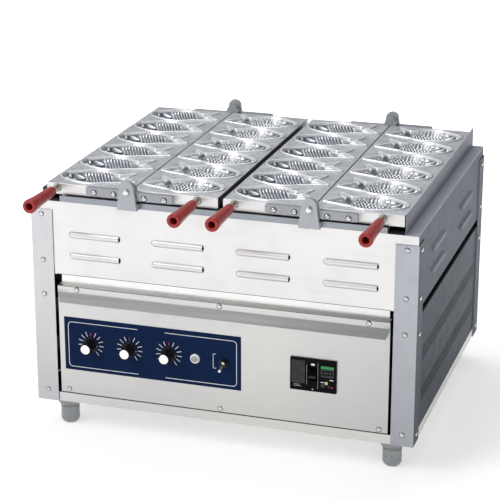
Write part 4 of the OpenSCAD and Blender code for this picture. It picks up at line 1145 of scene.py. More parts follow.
    def frame(self) -> bpy.types.Mesh:
        """The plate's edges, skirt and end strips round the moulds' cells."""
        shape = Shape(Datum(0.0, 0.0))
        first, last = self.start + self.end_skirt, self.end - self.end_skirt
        middles = first + self.pitch * (np.arange(self.count) + 0.5)
        along = np.unique(np.round(np.concatenate([[self.start + self.edge, first]] + [m + self.steps for m in middles]
                                                  + [[last, self.end - self.edge]]), 6))
        r, t = self.edge, -self.flat
        tall = -self.tall
        insets = ((r, r, t), (r * 0.5, r * 0.5, t - r * 0.13), (r * 0.13, r * 0.13, t - r * 0.5), (0, 0, t - r),
                  (0, 0, tall + 1), (0.3, 0.3, tall + 0.3), (1, 1, tall),
                  (self.side_skirt, self.end_skirt, tall), (self.side_skirt, self.end_skirt, -self.web))
        # Polish with painted highlight along the plate's rounded top edge.
        shine = [0.0, -0.2, -0.5, -0.3, -0.2, 0.0, 0.0, 0.0, 0.0]
        loops = []
        for ix, iy, z in insets:
            us = self.across(ix)
            vs = np.clip(along, self.start + iy, self.end - iy)
            ring = ([(u, self.start + iy) for u in us] + [(us[-1], v) for v in vs]
                    + [(u, self.end - iy) for u in us[::-1]] + [(us[0], v) for v in vs[::-1]])
            loops.append(np.array([(*p, z) for p in ring]))
        shape.loops(loops, patina=shine)
        us = self.across(r)
        for a, b in ((self.start + r, first), (last, self.end - r)):
            shape.loops([np.array([(u, y, t) for u in us]) for y in (a, b)], closed=False)
        return shape.mesh("plate frame")

    def build(self) -> None:
        """Makes the four plates and puts them on their hinged bodies."""
        datum = self.shop.datum
        finish = CastAlloy("cast plate", (0.70, 0.712, 0.735), 0.38, face_z=datum.at(0, 0, self.face).z)
        wholes = {flank: self.whole(FishMould(flank), finish) for flank in Flank}
        for n in (1, 2, 3, 4):
            left = n % 2 == 1
            mesh = wholes[Flank.BARRED if left else Flank.NETTED].data.copy()
            if left:
                mesh.transform(Matrix.Diagonal((-1, 1, 1, 1)))
            hinge = -self.hinge_x if n < 3 else self.hinge_x
            mesh.transform(Matrix.Translation(datum.at(hinge, 0, self.face)))
            if left:
                mesh.flip_normals()
            parts = [linked(f"MouldPlate{n}", mesh)]
            if not left:
                bosses = self.shop.shape()
                for a, b in ((2.4, 12), (618, 627.6)):
                    bosses.slab((hinge + 18, hinge + 89), (a, b), (self.face - 18.2, self.face - 4.2))
                parts.append(bosses.piece("bosses", finish, 0.8))
            plate = joined(f"MouldPlate{n}", parts) if len(parts) > 1 else parts[0]
            softened(plate, finish, 0.0, 50)
            near, far = (self.gap + 0.4) * MM, (self.wide - 0.4) * MM
            axis, front = datum.at(hinge, 0, 0).x, datum.at(0, self.start + 1, 0).y
            # The plates' side faces at the hinge gap and the outer edge take the near-black copy as painted shade.
            second_finish(plate, PLATE_SIDE_SHADE, lambda middle, normal: abs(normal.x) > 0.6
                          and not near < abs(middle.x - axis) < far)
            second_finish(plate, PLATE_EDGE, lambda middle, normal: normal.y < -0.6 and middle.y < front)
            shading = plate.modifiers.new("shading", "WEIGHTED_NORMAL")
            shading.keep_sharp = True
            self.shop.send(plain(plate), f"mould_{n}", "cast_plate", f"plate_{n}")
        for whole in wholes.values():
            bpy.data.objects.remove(whole)

    def whole(self, mould: FishMould, finish: Finish) -> bpy.types.Object:
        """A right plate with its hinge line at zero: one cell repeated, and the frame round the cells."""
        cells = self.shop.row.run("moulds", self.cell(mould), Count=self.count, Step=(0.0, self.pitch * MM, 0.0),
                                  Merge=4e-6, Finish=finish.material())
        first = self.start + self.end_skirt + self.pitch / 2
        cells.data.transform(Matrix.Translation((0, first * MM, 0)))
        whole = joined("plate", [cells, linked("frame", self.frame())])
        outward(whole.data, 4e-6)
        return whole


@dataclass
class Cabinet:
    """The sheet metal, posts, rails and screws.

    Attributes:
        screw_r: radius of a screw head.
        screw_h: height of a screw head.
        louvre_x: open end of a louvre, from its middle.
        louvre_pitch: distance between louvres.
        louvre_rows: heights of the louvres.
        band_z: lower edge of the visor's screwed band.
        band_h: height of that band.
        bottom: lower edge of the control panel.
        face: distance from the middle at which the side louvres stand out of their wall.
        ledge_back: back end of the visor's ledge.
        wall_z: lower edge of the louvred walls.
    """

    shop: Workshop
    screw_r: float = 4.6
    screw_h: float = 2.4

    louvre_x: float = 51.5
    louvre_pitch: float = 168.0
    louvre_rows: tuple[float, ...] = (349.5, 307.0)
    band_z: float = 231.3
    band_h: float = 13.5
    bottom: float = 21.0
    face: float = 378.5
    ledge_back: float = 15.0
    wall_z: float = 267.0

    SHEETS = {
        "control_panel": (PANEL, "casing_steel", 0.3), "rear_lower_panel": (CASING, "casing_steel", 0.3),
        # The rails take the darker copy as painted shade.
        "front_rail": (RAIL_SHADED, "rail_steel", 0.4), "rear_rail": (RAIL_SHADED, "rail_steel", 0.4),
        # Heat shield, drip tray and heater supports inside take the near-black steel as painted shade.
        "heat_shield": (INNER_SHADE, "inner_steel", 0.25), "drip_tray": (INNER_SHADE, "inner_steel", 0.25),
        "heater_supports": (INNER_SHADE, "inner_steel", 0.25)}

    def build(self) -> None:
        """Dresses the sheets and stands the screws on them."""
        for node, (finish, slot, bevel) in self.SHEETS.items():
            self.shop.send(self.shop.dressed_copy(node, finish, bevel), "cabinet", slot, node)
        for node in ("post_front_left", "post_front_right", "post_rear_left", "post_rear_right"):
            # Right posts take the darker copy of the post steel as painted shade.
            post = self.shop.dressed_copy(node, POST_RIGHT_SHADED if node.endswith("right") else POST, 0.5)
            # The posts' side faces take the near-black copy as painted shade.
            second_finish(post, POST_SIDE_SHADED, lambda middle, normal: abs(normal.x) > 0.7)
            self.shop.send(post, "cabinet", "post_steel", node)
        face = self.shop.datum.at(self.face, 0, 0).x
        for node in ("left_upper_panel", "right_upper_panel"):
            # Upper side walls take the dark copy as painted shade.
            wall = self.shop.dressed_copy(node, UPPER_SIDE_SHADED, 0.35)
            # Their louvres take the lighter copy as painted light.
            second_finish(wall, SIDE_LOUVRE_LIT, lambda middle, normal: abs(middle.x) > face)
            # Upward faces take the lighter copy as painted light.
            second_finish(wall, FLANGE_LIT, lambda middle, normal: normal.z > 0.7)
            self.shop.send(wall, "cabinet", "casing_steel", node)
        for node in ("left_guard", "right_guard"):
            # Guards take the dark copy as painted shade.
            guard = self.shop.dressed_copy(node, GUARD_SHADED, 0.25)
            top = max(corner[2] for corner in guard.bound_box) - 0.0012
            foot = min(corner[2] for corner in guard.bound_box) + 0.0016
            # The guard's upward faces take the lighter copy as painted light.
            second_finish(guard, FLANGE_LIT, lambda middle, normal: normal.z > 0.7)
            # Top and foot edges take the painted highlight.
            second_finish(guard, EDGE_HIGHLIGHT, lambda middle, normal: middle.z > top or middle.z < foot and abs(normal.x) > 0.5)
            self.shop.send(guard, "cabinet", "casing_steel", node)
        visor = self.shop.dressed_copy("front_visor", PANEL, 0.3)
        under, over = (self.shop.datum.at(0, 0, self.band_z + h).z for h in (-0.3, self.band_h + 0.3))
        # The lip under the band takes the darker copy as painted shade.
        second_finish(visor, LIP_SHADED, lambda middle, normal: middle.z < under)
        # The neck above the band takes the lighter copy as painted light.
        second_finish(visor, NECK_LIT, lambda middle, normal: middle.z > over)
        ledge = self.band_z + self.band_h
        half = max(corner[0] for corner in visor.bound_box) / MM
        # Painted shadow lines: thin dark strips at the band's top, the neck's foot, the louvred walls' lower edge and
        # under the control panel.
        lines = self.shop.shape()
        for y, z, high in ((0.5, ledge - 1.5, 1.2), (self.ledge_back, ledge + 0.2, 1.4), (2.0, self.wall_z, 1.0),
                           (2.0, self.bottom - 2.2, 2.4)):
            lines.slab((-half, half), (y - 0.1, y + 0.3), (z, z + high))
        self.shop.send(joined("FrontVisorLook", [visor, lines.piece("lines", SHADOW)]), "cabinet", "casing_steel", "front_visor")
        pan = self.shop.dressed_copy("base_pan", BASE, 0.3)
        # Inward and upward faces of the base pan take the near-black steel as painted shade in the gap.
        second_finish(pan, INNER_SHADE, lambda middle, normal: normal.z > 0.5 or normal.dot(middle) * 1000 < 200 and normal.z > -0.5)
        self.shop.send(pan, "cabinet", "casing_steel", "base_pan")
        for node, side in (("front_louvre_panel", 1), ("rear_louvre_panel", -1)):
            self.shop.send(self.louvred(node, side), "cabinet", "casing_steel", node)
        self.shop.send(self.shop.dressed_copy("heaters", SHEATH, 0.0, 50), "cabinet", "heater_sheath", "heaters")
        self.shop.send(self.shop.dressed_copy("cable_gland", GLAND, 0.6, 40), "cabinet", "gland_black", "cable_gland")
        for node, name in (("post_screws", "PostScrews"), ("panel_screws", "PanelScrews")):
            piece = self.shop.screws(name, self.heads(node), self.screw_r, self.screw_h, SCREW)
            self.shop.send(piece, "cabinet", "screw_steel", node)

    def louvred(self, node: str, side: int) -> bpy.types.Object:
        """A louvred wall with a round nick where each louvre opens."""
        wall = self.shop.dressed_copy(node, CASING, 0.0)
        nicks = self.shop.shape()
        y = (1.0, 6.0) if side > 0 else (624.0, 629.0)
        for column in range(4):
            for z in self.louvre_rows:
                x = (column - 1.5) * self.louvre_pitch + self.louvre_x
                for middle, wide, high in ((x - 1.2, 3.8, 4.6), (x - 98.5, 1.2, 1.6)):
                    nicks.pushed([(middle + wide * math.cos(t), z + high * math.sin(t))
                                  for t in np.arange(20) * math.pi / 10], y)
        cutter = nicks.piece("nicks", INNER_SHADE)
        cut = wall.modifiers.new("nicks", "BOOLEAN")
        cut.operation, cut.object, cut.solver = "DIFFERENCE", cutter, "EXACT"
        plain(wall)
        bpy.data.objects.remove(cutter)
        face = self.shop.datum.at(0, 5.6 if side > 0 else 624.4, 0).y
        # The louvres standing proud of the wall take the lighter copy as painted light.
        return second_finish(softened(wall, CASING, 0.35), LOUVRE_LIT, lambda middle, normal: (face - middle.y) * side > 0)

    def heads(self, node: str) -> list[tuple[Vector, Vector]]:
        """Where each screw of a node stands, and which way it faces."""
        places = []
        for low, high in islands(node):
            size, middle = high - low, (low + high) / 2
            axis = min(range(3), key=lambda k: abs(size[k] - sorted(size)[0]) if sorted(size)[1] - sorted(size)[0] > 1e-4
                       else -size[k])
            way = Vector((0, 0, 0))
            way[axis] = 1 if middle[axis] > 0 else -1
            outer = high[axis] if way[axis] > 0 else low[axis]
            place = middle.copy()
            place[axis] = outer - way[axis] * self.screw_h * MM
            places.append((place, way))
        return places


@dataclass
class VentPanels:
    """Lower side panels with two perforated strips, punched by repeating one tile.

    Attributes:
        outer: distance of the panel's face from the middle.
        sheet: thickness.
        y: front and back edges.
        z: lower and upper edges.
        strips: lower and upper edge of each strip.
        strip_y: ends of the strips.
        holes: holes in a row.
        rows: rows in a strip.
        radius: radius of a hole.
    """

    shop: Workshop
    outer: float = 378.0
    sheet: float = 1.5
    y: tuple[float, float] = (3.5, 626.5)
    z: tuple[float, float] = (21.0, 250.5)
    strips: tuple[tuple[float, float], ...] = ((67.0, 96.0), (150.0, 179.0))
    strip_y: tuple[float, float] = (62.0, 568.0)
    holes: int = 92
    rows: int = 6
    radius: float = 1.75

    def tile(self, wide: float, high: float) -> bpy.types.Mesh:
        """A square of sheet with a hole of eight sides through it."""
        a, b = wide / 2, high / 2
        outer = [(a, 0), (a, b), (0, b), (-a, b), (-a, 0), (-a, -b), (0, -b), (a, -b)]
        inner = [(self.radius * math.cos(k * math.pi / 4), self.radius * math.sin(k * math.pi / 4)) for k in range(8)]
        shape = Shape(Datum(0.0, 0.0))
        rings = [np.array([(x, p[0], p[1]) for p in ring])
                 for ring, x in ((outer, 0), (inner, 0), (inner, -self.sheet), (outer, -self.sheet))]
        shape.loops(rings)
        mesh = bpy.data.meshes.new("tile")
        mesh.from_pydata((np.concatenate(shape.points) * MM).tolist(), [], shape.faces)
        return mesh

    def build(self) -> None:
        """Makes both panels."""
        wide = (self.strip_y[1] - self.strip_y[0]) / self.holes
        # The side panels take the near-black side steel as painted shade.
        finish = SIDE_SHADED.material()
        parts = []
        for low, high in self.strips:
            tall = (high - low) / self.rows
            for row in range(self.rows):
                odd = row % 2
                strip = self.shop.row.run("strip", self.tile(wide, tall), Count=self.holes - odd,
                                          Step=(0.0, wide * MM, 0.0), Merge=4e-6, Finish=finish)
                strip.data.transform(Matrix.Translation(self.shop.datum.at(
                    self.outer, self.strip_y[0] + wide * (0.5 + odd / 2), low + tall * (row + 0.5))))
                parts.append(strip)
                if odd:
                    shape = self.shop.shape()
                    for y in (self.strip_y[0], self.strip_y[1] - wide / 2):
                        shape.slab((self.outer - self.sheet, self.outer), (y, y + wide / 2),
                                   (low + tall * row, low + tall * (row + 1)))
                    parts.append(shape.piece("end", SIDE_SHADED))
        plain_parts = self.shop.shape()
        x = (self.outer - self.sheet, self.outer)
        levels = [self.z[0]] + [h for strip in self.strips for h in strip] + [self.z[1]]
        for low, high in zip(levels[::2], levels[1::2]):
            plain_parts.slab(x, self.y, (low, high))
        for low, high in self.strips:
            plain_parts.slab(x, (self.y[0], self.strip_y[0]), (low, high))
            plain_parts.slab(x, (self.strip_y[1], self.y[1]), (low, high))
        parts.append(plain_parts.piece("sheet", SIDE_SHADED))
        # The fold at the panel's top takes the near-black steel as painted shade under the upper wall.
        fold = self.shop.shape()
        fold.slab((self.outer - 11.5, self.outer - self.sheet), (44, 586), (self.z[1] - self.sheet, self.z[1]))
        parts.append(fold.piece("fold", INNER_SHADE))
        right = joined("RightVentPanel", parts)
        left = linked("LeftVentPanel", right.data.copy())
        left.data.transform(Matrix.Diagonal((-1, 1, 1, 1)))
        left.data.flip_normals()
        self.shop.send(right, "cabinet", "side_steel", "right_lower_panel")
        self.shop.send(left, "cabinet", "side_steel", "left_lower_panel")


@dataclass
class Hinges:
    """Straps with their bolts, tapered brackets and hinge pins.

    Attributes:
        x: distance of the hinge lines from the middle.
        axis: height of the hinge line.
        low: underside of a strap.
        high: top of a strap.
        eye: radius of a strap's eye.
        length: length of a strap.
        bolts: distance of the bolts from the hinge line.
    """

    shop: Workshop
    x: float = 177.2
    axis: float = 450.3
    low: float = 431.8
    high: float = 448.3
    eye: float = 13.0
    length: float = 89.0
    bolts: tuple[float, float] = (32.0, 72.0)
    bolt_z: float = 438.2

    def strap_outline(self, side: int, x: float) -> list[tuple[float, float]]:
        """The strap and its eye as one outline."""
        c = 3.5
        turn = [math.radians(a) for a in range(-8, 205, 12)]
        eye = [(self.eye * math.cos(t), self.axis + self.eye * math.sin(t)) for t in turn][::-1]
        points = [(self.length - c, self.low), (self.length - 1, self.low + 1), (self.length, self.low + c),
                  (self.length, self.high - c), (self.length - 1, self.high - 1), (self.length - c, self.high)]
        left = [(-self.eye * 0.9, self.axis - 5), (-self.eye * 0.6, self.axis - 10.5), (-2, self.low - 0.5 + 5), (4, self.low)]
        outline = [(4, self.low)] + points + [(self.eye + 6, self.high), (self.eye + 1.5, self.high + 1)] \
            + [p for p in eye[::-1] if p[1] > self.high + 0.5] + left[:3]
        return [(x + side * u, z) for u, z in outline]

    def build(self) -> None:
        """Makes the straps, bolts, brackets and pins."""
        for n in (1, 2, 3, 4):
            left = n % 2 == 1
            side, x = (-1 if left else 1), (-self.x if n < 3 else self.x)
            y0 = 3.0 if left else -5.6
            shape = self.shop.shape()
            places = []
            for front in (True, False):
                y = (y0, y0 + 8) if front else (630 - y0 - 8, 630 - y0)
                shape.pushed(self.strap_outline(side, x), y)
                way = Vector((0, -1 if front else 1, 0))
                outer = y[0] if front else y[1]
                places += [(self.shop.datum.at(x + side * u, outer, self.bolt_z), way) for u in self.bolts]
            strap = shape.piece("strap", STRAP, 0.8)
            bolts = self.shop.screws("bolts", places, 5.0, 3.8, SCREW)
            self.shop.send(joined(f"HingeStrap{n}", [strap, bolts]), f"mould_{n}", "hinge_steel", f"hinge_straps_{n}")
        for node, name in (("hinge_brackets_left", "BracketLeft"), ("hinge_brackets_right", "BracketRight")):
            piece = self.shop.dressed_copy(node, HINGE, 0.9)
            self.shop.send(piece, "cabinet", "hinge_steel", node)
        pins = self.shop.shape()
        for x in (-self.x, self.x):
            for face, way in ((-19.2, Axis.BACK), (649.2, Axis.FRONT)):
                pins.turned((x, face, self.axis), way, [(0.01, 0), (3.6, 0), (5.2, 0.5), (6.1, 1.5), (6.4, 2.8), (6.4, 5),
                                                       (5, 5), (5, 29), (0.01, 29)], 32)
        self.shop.send(pins.piece("HingePins", SCREW, 0.0, 40), "cabinet", "hinge_steel", "hinge_pins")


@dataclass
class Handles:
    """Four red grips on steel rods.

    Attributes:
        reach: how far the grips stand out in front.
        length: length of a grip.
        z: height of the rods.
        outer: distance of the left plates' rods from the hinge line.
        inner: distance of the right plates' rods from the hinge line.
    """

    shop: Workshop
    reach: float = 120.0
    length: float = 106.0
    z: float = 439.3
    outer: float = 150.0
    inner: float = 132.0
    hinge_x: float = 177.2

    def build(self) -> None:
        """Makes the rods and grips."""
        for n in (1, 2, 3, 4):
            left = n % 2 == 1
            hinge = -self.hinge_x if n < 3 else self.hinge_x
            x = hinge - self.outer if left else hinge + self.inner
            grip = self.shop.shape()
            end = self.length
            grip.turned((x, -self.reach, self.z), Axis.BACK, [
                (6.9, 29.5), (6.9, 0.9), (7.6, 0.2), (8.6, 0), (11.2, 0), (12.6, 0.5), (13.2, 1.6), (13.3, 3.5), (13.3, 8),
                (12.9, 14), (12.1, 26), (11.3, 46), (10.7, 66), (10.1, 86), (9.6, end - 5), (9.2, end - 1.6),
                (8.2, end - 0.3), (7.0, end), (5.1, end), (5.1, 29.6)], 56)
            self.shop.send(grip.piece(f"Grip{n}", GRIP, 0.0, 40), f"mould_{n}", "grip_red", f"grip_{n}")
            rod = self.shop.shape()
            rod.turned((x, -self.reach + 30, self.z), Axis.BACK, [(0.01, 0), (5, 0), (5, end + 15), (0.01, end + 15)], 32)
            rod.turned((x, 4, self.z), Axis.BACK, [(5, 0), (6.6, 0), (7.5, 0.8), (7.5, 5.5), (8.4, 6.4), (8.4, 7), (5, 7)], 32)
            self.shop.send(rod.piece(f"HandleRod{n}", ROD, 0.0, 40), f"mould_{n}", "rod_steel", f"handle_rod_{n}")


@dataclass
class Controls:
    """Control plate with its print, three power knobs, lamp and switch.

    Attributes:
        face: front of the control plate.
        left: left edge of the plate.
        wide: width of the plate.
        z: middle of the plate.
        high: height of the plate.
        dial_x: middles of the dials.
        dial_z: height of the dials.
        lamp_x: middle of the lamp.
        switch_x: middle of the switch.
        gap: bare stretch in the middle of the printed frame.
    """

    shop: Workshop
    face: float = 1.0
    left: float = -319.5
    wide: float = 362.0
    z: float = 125.5
    high: float = 110.0
    dial_x: tuple[float, ...] = (-264.0, -183.4, -102.8)
    dial_z: float = 128.5
    lamp_x: float = -49.5
    switch_x: float = 8.5
    gap: float = 56.0

    def plate(self) -> None:
        """The enamelled plate with its printed frame."""
        shape = self.shop.shape()
        shape.slab((self.left, self.left + self.wide), (self.face, self.face + 0.99),
                   (self.z - self.high / 2, self.z + self.high / 2))
        plate = shape.piece("enamel", BLUE, 0.4)
        marks = self.shop.shape()
        y = (self.face - 0.12, self.face + 0.05)
        middle, reach, rise, corner, w = self.left + self.wide / 2, self.wide / 2 - 8, self.high / 2 - 8, 8.0, 1.2
        turns = np.linspace(0, math.pi / 2, 7)
        for side in (-1, 1):
            line = [(self.gap / 2, rise)] + [(reach - corner + corner * math.sin(t), rise - corner + corner * math.cos(t))
                                             for t in turns]
            line += [(u, -v) for u, v in line[::-1]]
            inner = [(self.gap / 2, rise - w)] + [(reach - corner + (corner - w) * math.sin(t),
                                                   rise - corner + (corner - w) * math.cos(t)) for t in turns]
            inner += [(u, -v) for u, v in inner[::-1]]
            strips = [np.array([(middle + side * u, h, self.z - 1 + v) for u, v in part]) for part, h in
                      ((line, y[1]), (line, y[0]), (inner, y[0]), (inner, y[1]))]
            marks.loops([np.array(ring) for ring in zip(*strips)], start=True, end=True)
        s = self.switch_x
        marks.slab((s - 22, s - 21), y, (self.z - 15, self.z + 15))
        for z in (self.z - 15, self.z + 14):
            marks.slab((s - 22, s - 16), y, (z, z + 1))
        parts = [plate, marks.piece("frame", WHITE)]
        for x in self.dial_x:
            parts += self.ticks(x)
        self.shop.send(joined("ControlPlate", parts), "cabinet", "control_blue", "control_plate")

    def ticks(self, x: float) -> list[bpy.types.Object]:
        """White ticks round a dial, with a red one at the top."""
        middle = self.shop.datum.at(x, 0, self.dial_z)
        made = []
        for count, start, finish in ((6, -144, WHITE), (6, 24, WHITE), (1, 0, RED)):
            shape = Shape(Datum(0.0, 0.0))
            shape.slab((-0.65, 0.65), (self.face - 0.12, self.face + 0.05), (17, 26.5 if count > 1 else 24))
            made.append(self.shop.ring.run("ticks", shape.mesh("tick"), Count=count, Start=math.radians(start),
                                           Step=math.radians(24), Middle=tuple(middle), Finish=finish.material()))
        return made

    def knobs(self) -> None:
        """Fluted knobs with turned caps and a white dot."""
        for name, x in zip(("left", "middle", "right"), self.dial_x):
            face = self.face - 0.4
            body = self.shop.shape()
            body.turned((x, face, self.dial_z), Axis.FRONT, [(0.01, 0), (14.6, 0), (15, 0.5), (15, 2.4), (14.4, 3), (13.2, 3.4)], 60)
            body.turned((x, face - 3, self.dial_z), Axis.FRONT, [(12.8, 0), (12.6, 1), (11.2, 21), (10.9, 24.5), (10.2, 25.8),
                                                               (9.4, 26.2)], 96, lobes=16, lobe=0.035)
            cap = self.shop.shape()
            cap.turned((x, face - 29, self.dial_z), Axis.FRONT, [(9.3, 0), (9.3, 0.5), (8.8, 0.95), (6, 1), (5.7, 0.85), (0.01, 0.85)], 48)
            dot = self.shop.shape()
            turn = math.radians(-8)
            dot.turned((x + 13.9 * math.cos(turn), face - 2.6, self.dial_z + 13.9 * math.sin(turn)), Axis.FRONT,
                       [(1.0, 0), (1.0, 0.6), (0.01, 0.6)], 12)
            piece = joined(f"Knob{name.title()}", [body.piece("body", KNOB, 0.0, 50), cap.piece("cap", CAP, 0.0, 40),
                                                   dot.piece("dot", WHITE)])
            self.shop.send(piece, f"knob_{name}_body", "knob_black", f"knob_{name}")
        self.shop.send(self.shop.dressed_copy("regulators", CREAM, 0.8), "cabinet", "regulator_cream", "regulators")

    def lamp(self) -> None:
        """Pilot lamp: white bezel and grey lens."""
        x = self.lamp_x
        bezel = self.shop.shape()
        bezel.turned((x, self.face, self.z), Axis.FRONT, [(9.8, 0), (9.8, 1.4), (9.4, 2.4), (8.4, 3.4), (7.2, 4), (6.4, 3.6), (6.2, 2.2),
                                                        (0.01, 2.2)], 48)
        bezel.turned((x, self.face, self.z), Axis.BACK, [(6.8, 0), (6.8, 30), (0.01, 30)], 24)
        lens = self.shop.shape()
        lens.turned((x, self.face - 2.1, self.z), Axis.FRONT, [(6.1, 0), (6.0, 0.8), (5.2, 1.6), (3.4, 2.1), (1.4, 2.3), (0.01, 2.3)], 32)
        piece = joined("PilotLamp", [bezel.piece("bezel", WHITE, 0.0, 50), lens.piece("lens", LENS, 0.0, 60)])
        self.shop.send(piece, "cabinet", "lamp_white", "pilot_lamp")

    def switch(self) -> None:
        """Toggle switch and its lever."""
        self.shop.send(self.shop.dressed_copy("toggle_switch", KNOB, 0.3), "cabinet", "switch_black", "toggle_switch")
        lever = self.shop.dressed_copy("toggle_lever", CAP, 0.0, 60)
        self.shop.send(lever, "switch_lever", "lever_chrome", "toggle_lever")

    def build(self) -> None:
        """Makes everything on the control plate."""
        self.plate()
        self.knobs()
        self.lamp()
        self.switch()


@dataclass
class Breaker:
    """Earth-leakage breaker in the control panel.

    Attributes:
        x: middle of the case.
        z: middle of the case.
        wide: width of the case.
        high: height of the case.
        face: front of the case.
    """

    shop: Workshop
    x: float = 185.5
    z: float = 122.0
    wide: float = 90.0
    high: float = 65.0
    face: float = -2.0

    def build(self) -> None:
        """Makes the case with its window, labels and marks, and the lever and button."""
        case = self.shop.dressed_copy("breaker_body", BAKELITE, 0.7)
        y = (self.face - 0.14, self.face + 0.05)

        def mark(finish: Finish, boxes: list[tuple[float, float, float, float]]) -> bpy.types.Object:
            """Flat marks: left, right, low and high from the case's middle."""
            shape = self.shop.shape()
            for a, b, c, d in boxes:
                shape.slab((self.x + a, self.x + b), y, (self.z + c, self.z + d))
            return shape.piece("mark", finish)
        blocks = [(17 + 5.6 * i, 21 + 5.6 * i, 8.5 - 6 * k, 12 - 6 * k) for i in range(4) for k in range(2)]
        parts = [case,
                 mark(WINDOW, [(-42, -16, -18, 28)]),
                 mark(LABEL, [(-41, -17, 24 - 5 * k, 24.35 - 5 * k) for k in range(8)]),
                 mark(LENS, [(-38, -26 + 3 * k, -21.5 - 3 * k, -20.6 - 3 * k) for k in range(2)]),
                 mark(LENS, [(-12.6, -12, -20, 20), (9, 9.6, -26, 26)]),
                 mark(WHITE, [(-4, 3, 20, 24)]),
                 mark(GREEN, [(15, 40, 15.5, 21)]),
                 mark(LABEL, [(15, 40, -1, 14.5)]),
                 mark(LENS, blocks),
                 mark(WHITE, [(15, 22, -12.5, -11), (32, 40, -6.5, -5), (-2, 0.4, -29, -27)]),
                 mark(LABEL, [(15, 22, -22, -15), (29, 33, -22, -17)]),
                 mark(RED, [(35.5, 38.4, -22, -19)])]
        self.shop.send(joined("BreakerCase", parts), "cabinet", "breaker_black", "breaker_body")
        self.shop.send(self.shop.dressed_copy("breaker_lever", KNOB, 0.5, 50), "breaker_toggle", "breaker_black", "breaker_lever")
        self.shop.send(self.shop.dressed_copy("breaker_button", BUTTON, 0.2, 50), "test_button", "button_yellow", "breaker_button")


@dataclass
class Feet:
    """Levelling feet and their collars.

    Attributes:
        x: distance of a foot from the middle.
        y: distance of a foot from the posts' faces.
        high: height of the cabinet over the bench.
        collar: height of a collar.
    """

    shop: Workshop
    x: float = 331.0
    y: float = 43.0
    high: float = 59.0
    collar: float = 21.0

    def build(self) -> None:
        """Turns the four feet and their collars."""
        places = {f"{a}_{b}": (sx * self.x, y) for a, y in (("front", self.y), ("rear", 630 - self.y))
                  for b, sx in (("left", -1), ("right", 1))}
        collars = self.shop.shape()
        for name, (x, y) in places.items():
            collars.turned((x, y, 0), Axis.DOWN, [(8.1, 0), (22, 0), (24, 0.6), (24, 13.5), (23.5, 15.5), (21.5, 18), (20, 20.4),
                                                (19.2, 21), (8.1, 21)], 56)
            foot = self.shop.shape()
            body = self.high - self.collar
            foot.turned((x, y, -self.high), Axis.UP, [(0.01, 0), (12.5, 0), (13.8, 0.5), (17.6, 5.5), (18.4, 7.2), (18.5, 9), (18.5, body - 3),
                                                    (17.6, body - 3), (17.6, body - 1.6), (18.5, body - 1.6), (18.5, body),
                                                    (8, body), (8, body + 30), (0.01, body + 30)], 56)
            self.shop.send(foot.piece(f"Foot{name.title().replace('_', '')}", FOOT, 0.0, 30), f"adjuster_{name}", "foot_steel", f"foot_{name}")
        self.shop.send(collars.piece("FootCollars", FOOT, 0.0, 30), "cabinet", "foot_steel", "foot_collars")


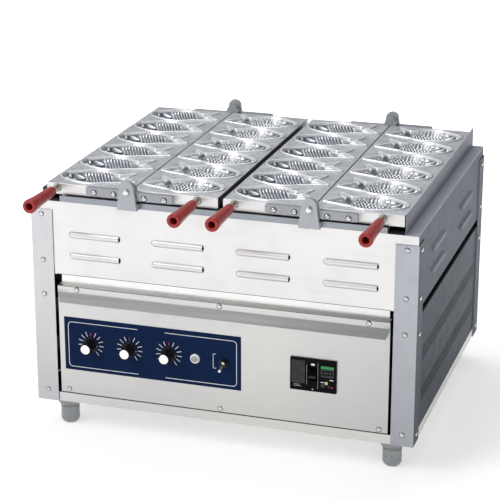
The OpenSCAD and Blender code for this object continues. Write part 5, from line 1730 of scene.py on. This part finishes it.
@dataclass
class Studio:
    """Floor, light and camera.

    Attributes:
        eye: the camera's place on the drawing, in millimetres.
        turn: how far the camera is turned to the left, in degrees.
        dip: how far it looks down, in degrees.
        lens: focal length for a 36 mm sensor.
    """

    datum: Datum
    eye: Point = (997.9, -2937.8, 1416.6)
    turn: float = 17.689
    dip: float = 18.965
    lens: float = 126.86

    def camera(self) -> None:
        """Sets up the photograph's view."""
        data = bpy.data.cameras.new("Camera")
        data.lens, data.sensor_width, data.clip_end = self.lens, 36.0, 100.0
        data.sensor_fit = "HORIZONTAL"
        thing = bpy.data.objects.new("Camera", data)
        thing.location = self.datum.at(*self.eye)
        thing.rotation_euler = (math.radians(90 - self.dip), 0, math.radians(self.turn))
        bpy.context.scene.collection.objects.link(thing)
        bpy.context.scene.camera = thing

    def lamp(self, name: str, place: Point, size: float, power: float, colour: Colour = (1, 1, 1)) -> None:
        """A soft square lamp that looks at the object."""
        data = bpy.data.lights.new(name, "AREA")
        data.shape, data.size, data.energy, data.color = "SQUARE", size, power, colour
        thing = bpy.data.objects.new(name, data)
        thing.location = place
        thing.rotation_euler = (Vector((0, 0, 0.3)) - Vector(place)).to_track_quat("-Z", "Y").to_euler()
        bpy.context.scene.collection.objects.link(thing)

    def sky(self) -> None:
        """World light: bright in front and above, dim to the right."""
        world = bpy.data.worlds.new("Studio")
        world.use_nodes = True
        graph = Graph(world.node_tree)
        way = graph.add("ShaderNodeSeparateXYZ", {0: graph.add("ShaderNodeTexCoord").outputs["Generated"]}).outputs
        side = graph.span(way[0], -0.3, 0.75, 1.0, 0.42)
        back = graph.span(way[1], -0.2, 0.9, 1.0, 0.60)
        level = graph.math("MULTIPLY", side, back)
        tint = graph.mix(level, (0.50, 0.55, 0.63), (1.0, 1.0, 1.0))
        ground = graph.add("ShaderNodeBackground", {"Color": tint, "Strength": graph.math("MULTIPLY", level, 0.72)})
        graph.add("ShaderNodeOutputWorld", {"Surface": ground.outputs[0]})
        bpy.context.scene.world = world

    def floor(self) -> None:
        """A wide pale floor."""
        mesh = bpy.data.meshes.new("Floor")
        r = 16.0
        mesh.from_pydata([(-r, -r, 0), (r, -r, 0), (r, r, 0), (-r, r, 0)], [], [(0, 1, 2, 3)])
        mesh.materials.append(Floor("floor", (0.82, 0.82, 0.82)).material())
        linked("Floor", mesh)

    def build(self) -> None:
        """Sets the stage."""
        bpy.context.scene.view_settings.view_transform = "Standard"
        self.floor()
        self.sky()
        self.lamp("Key", (-2.2, -2.6, 3.2), 2.2, 56)
        self.lamp("Fill", (2.6, -2.8, 1.8), 2.4, 12)
        self.lamp("Top", (-0.3, 1.2, 3.0), 2.0, 26)


def main() -> None:
    """Builds the looks of the taiyaki maker around its frame."""
    logging.basicConfig(level=logging.INFO, format="%(name)s: %(message)s")
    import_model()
    datum = Datum.of_frame()
    studio = Studio(datum)
    studio.camera()
    shop = Workshop(datum)
    for part in (MouldPlates(shop), Cabinet(shop), VentPanels(shop), Hinges(shop), Handles(shop), Controls(shop),
                 Breaker(shop), Feet(shop)):
        part.build()
    studio.build()


if __name__ == "__main__":
    main()
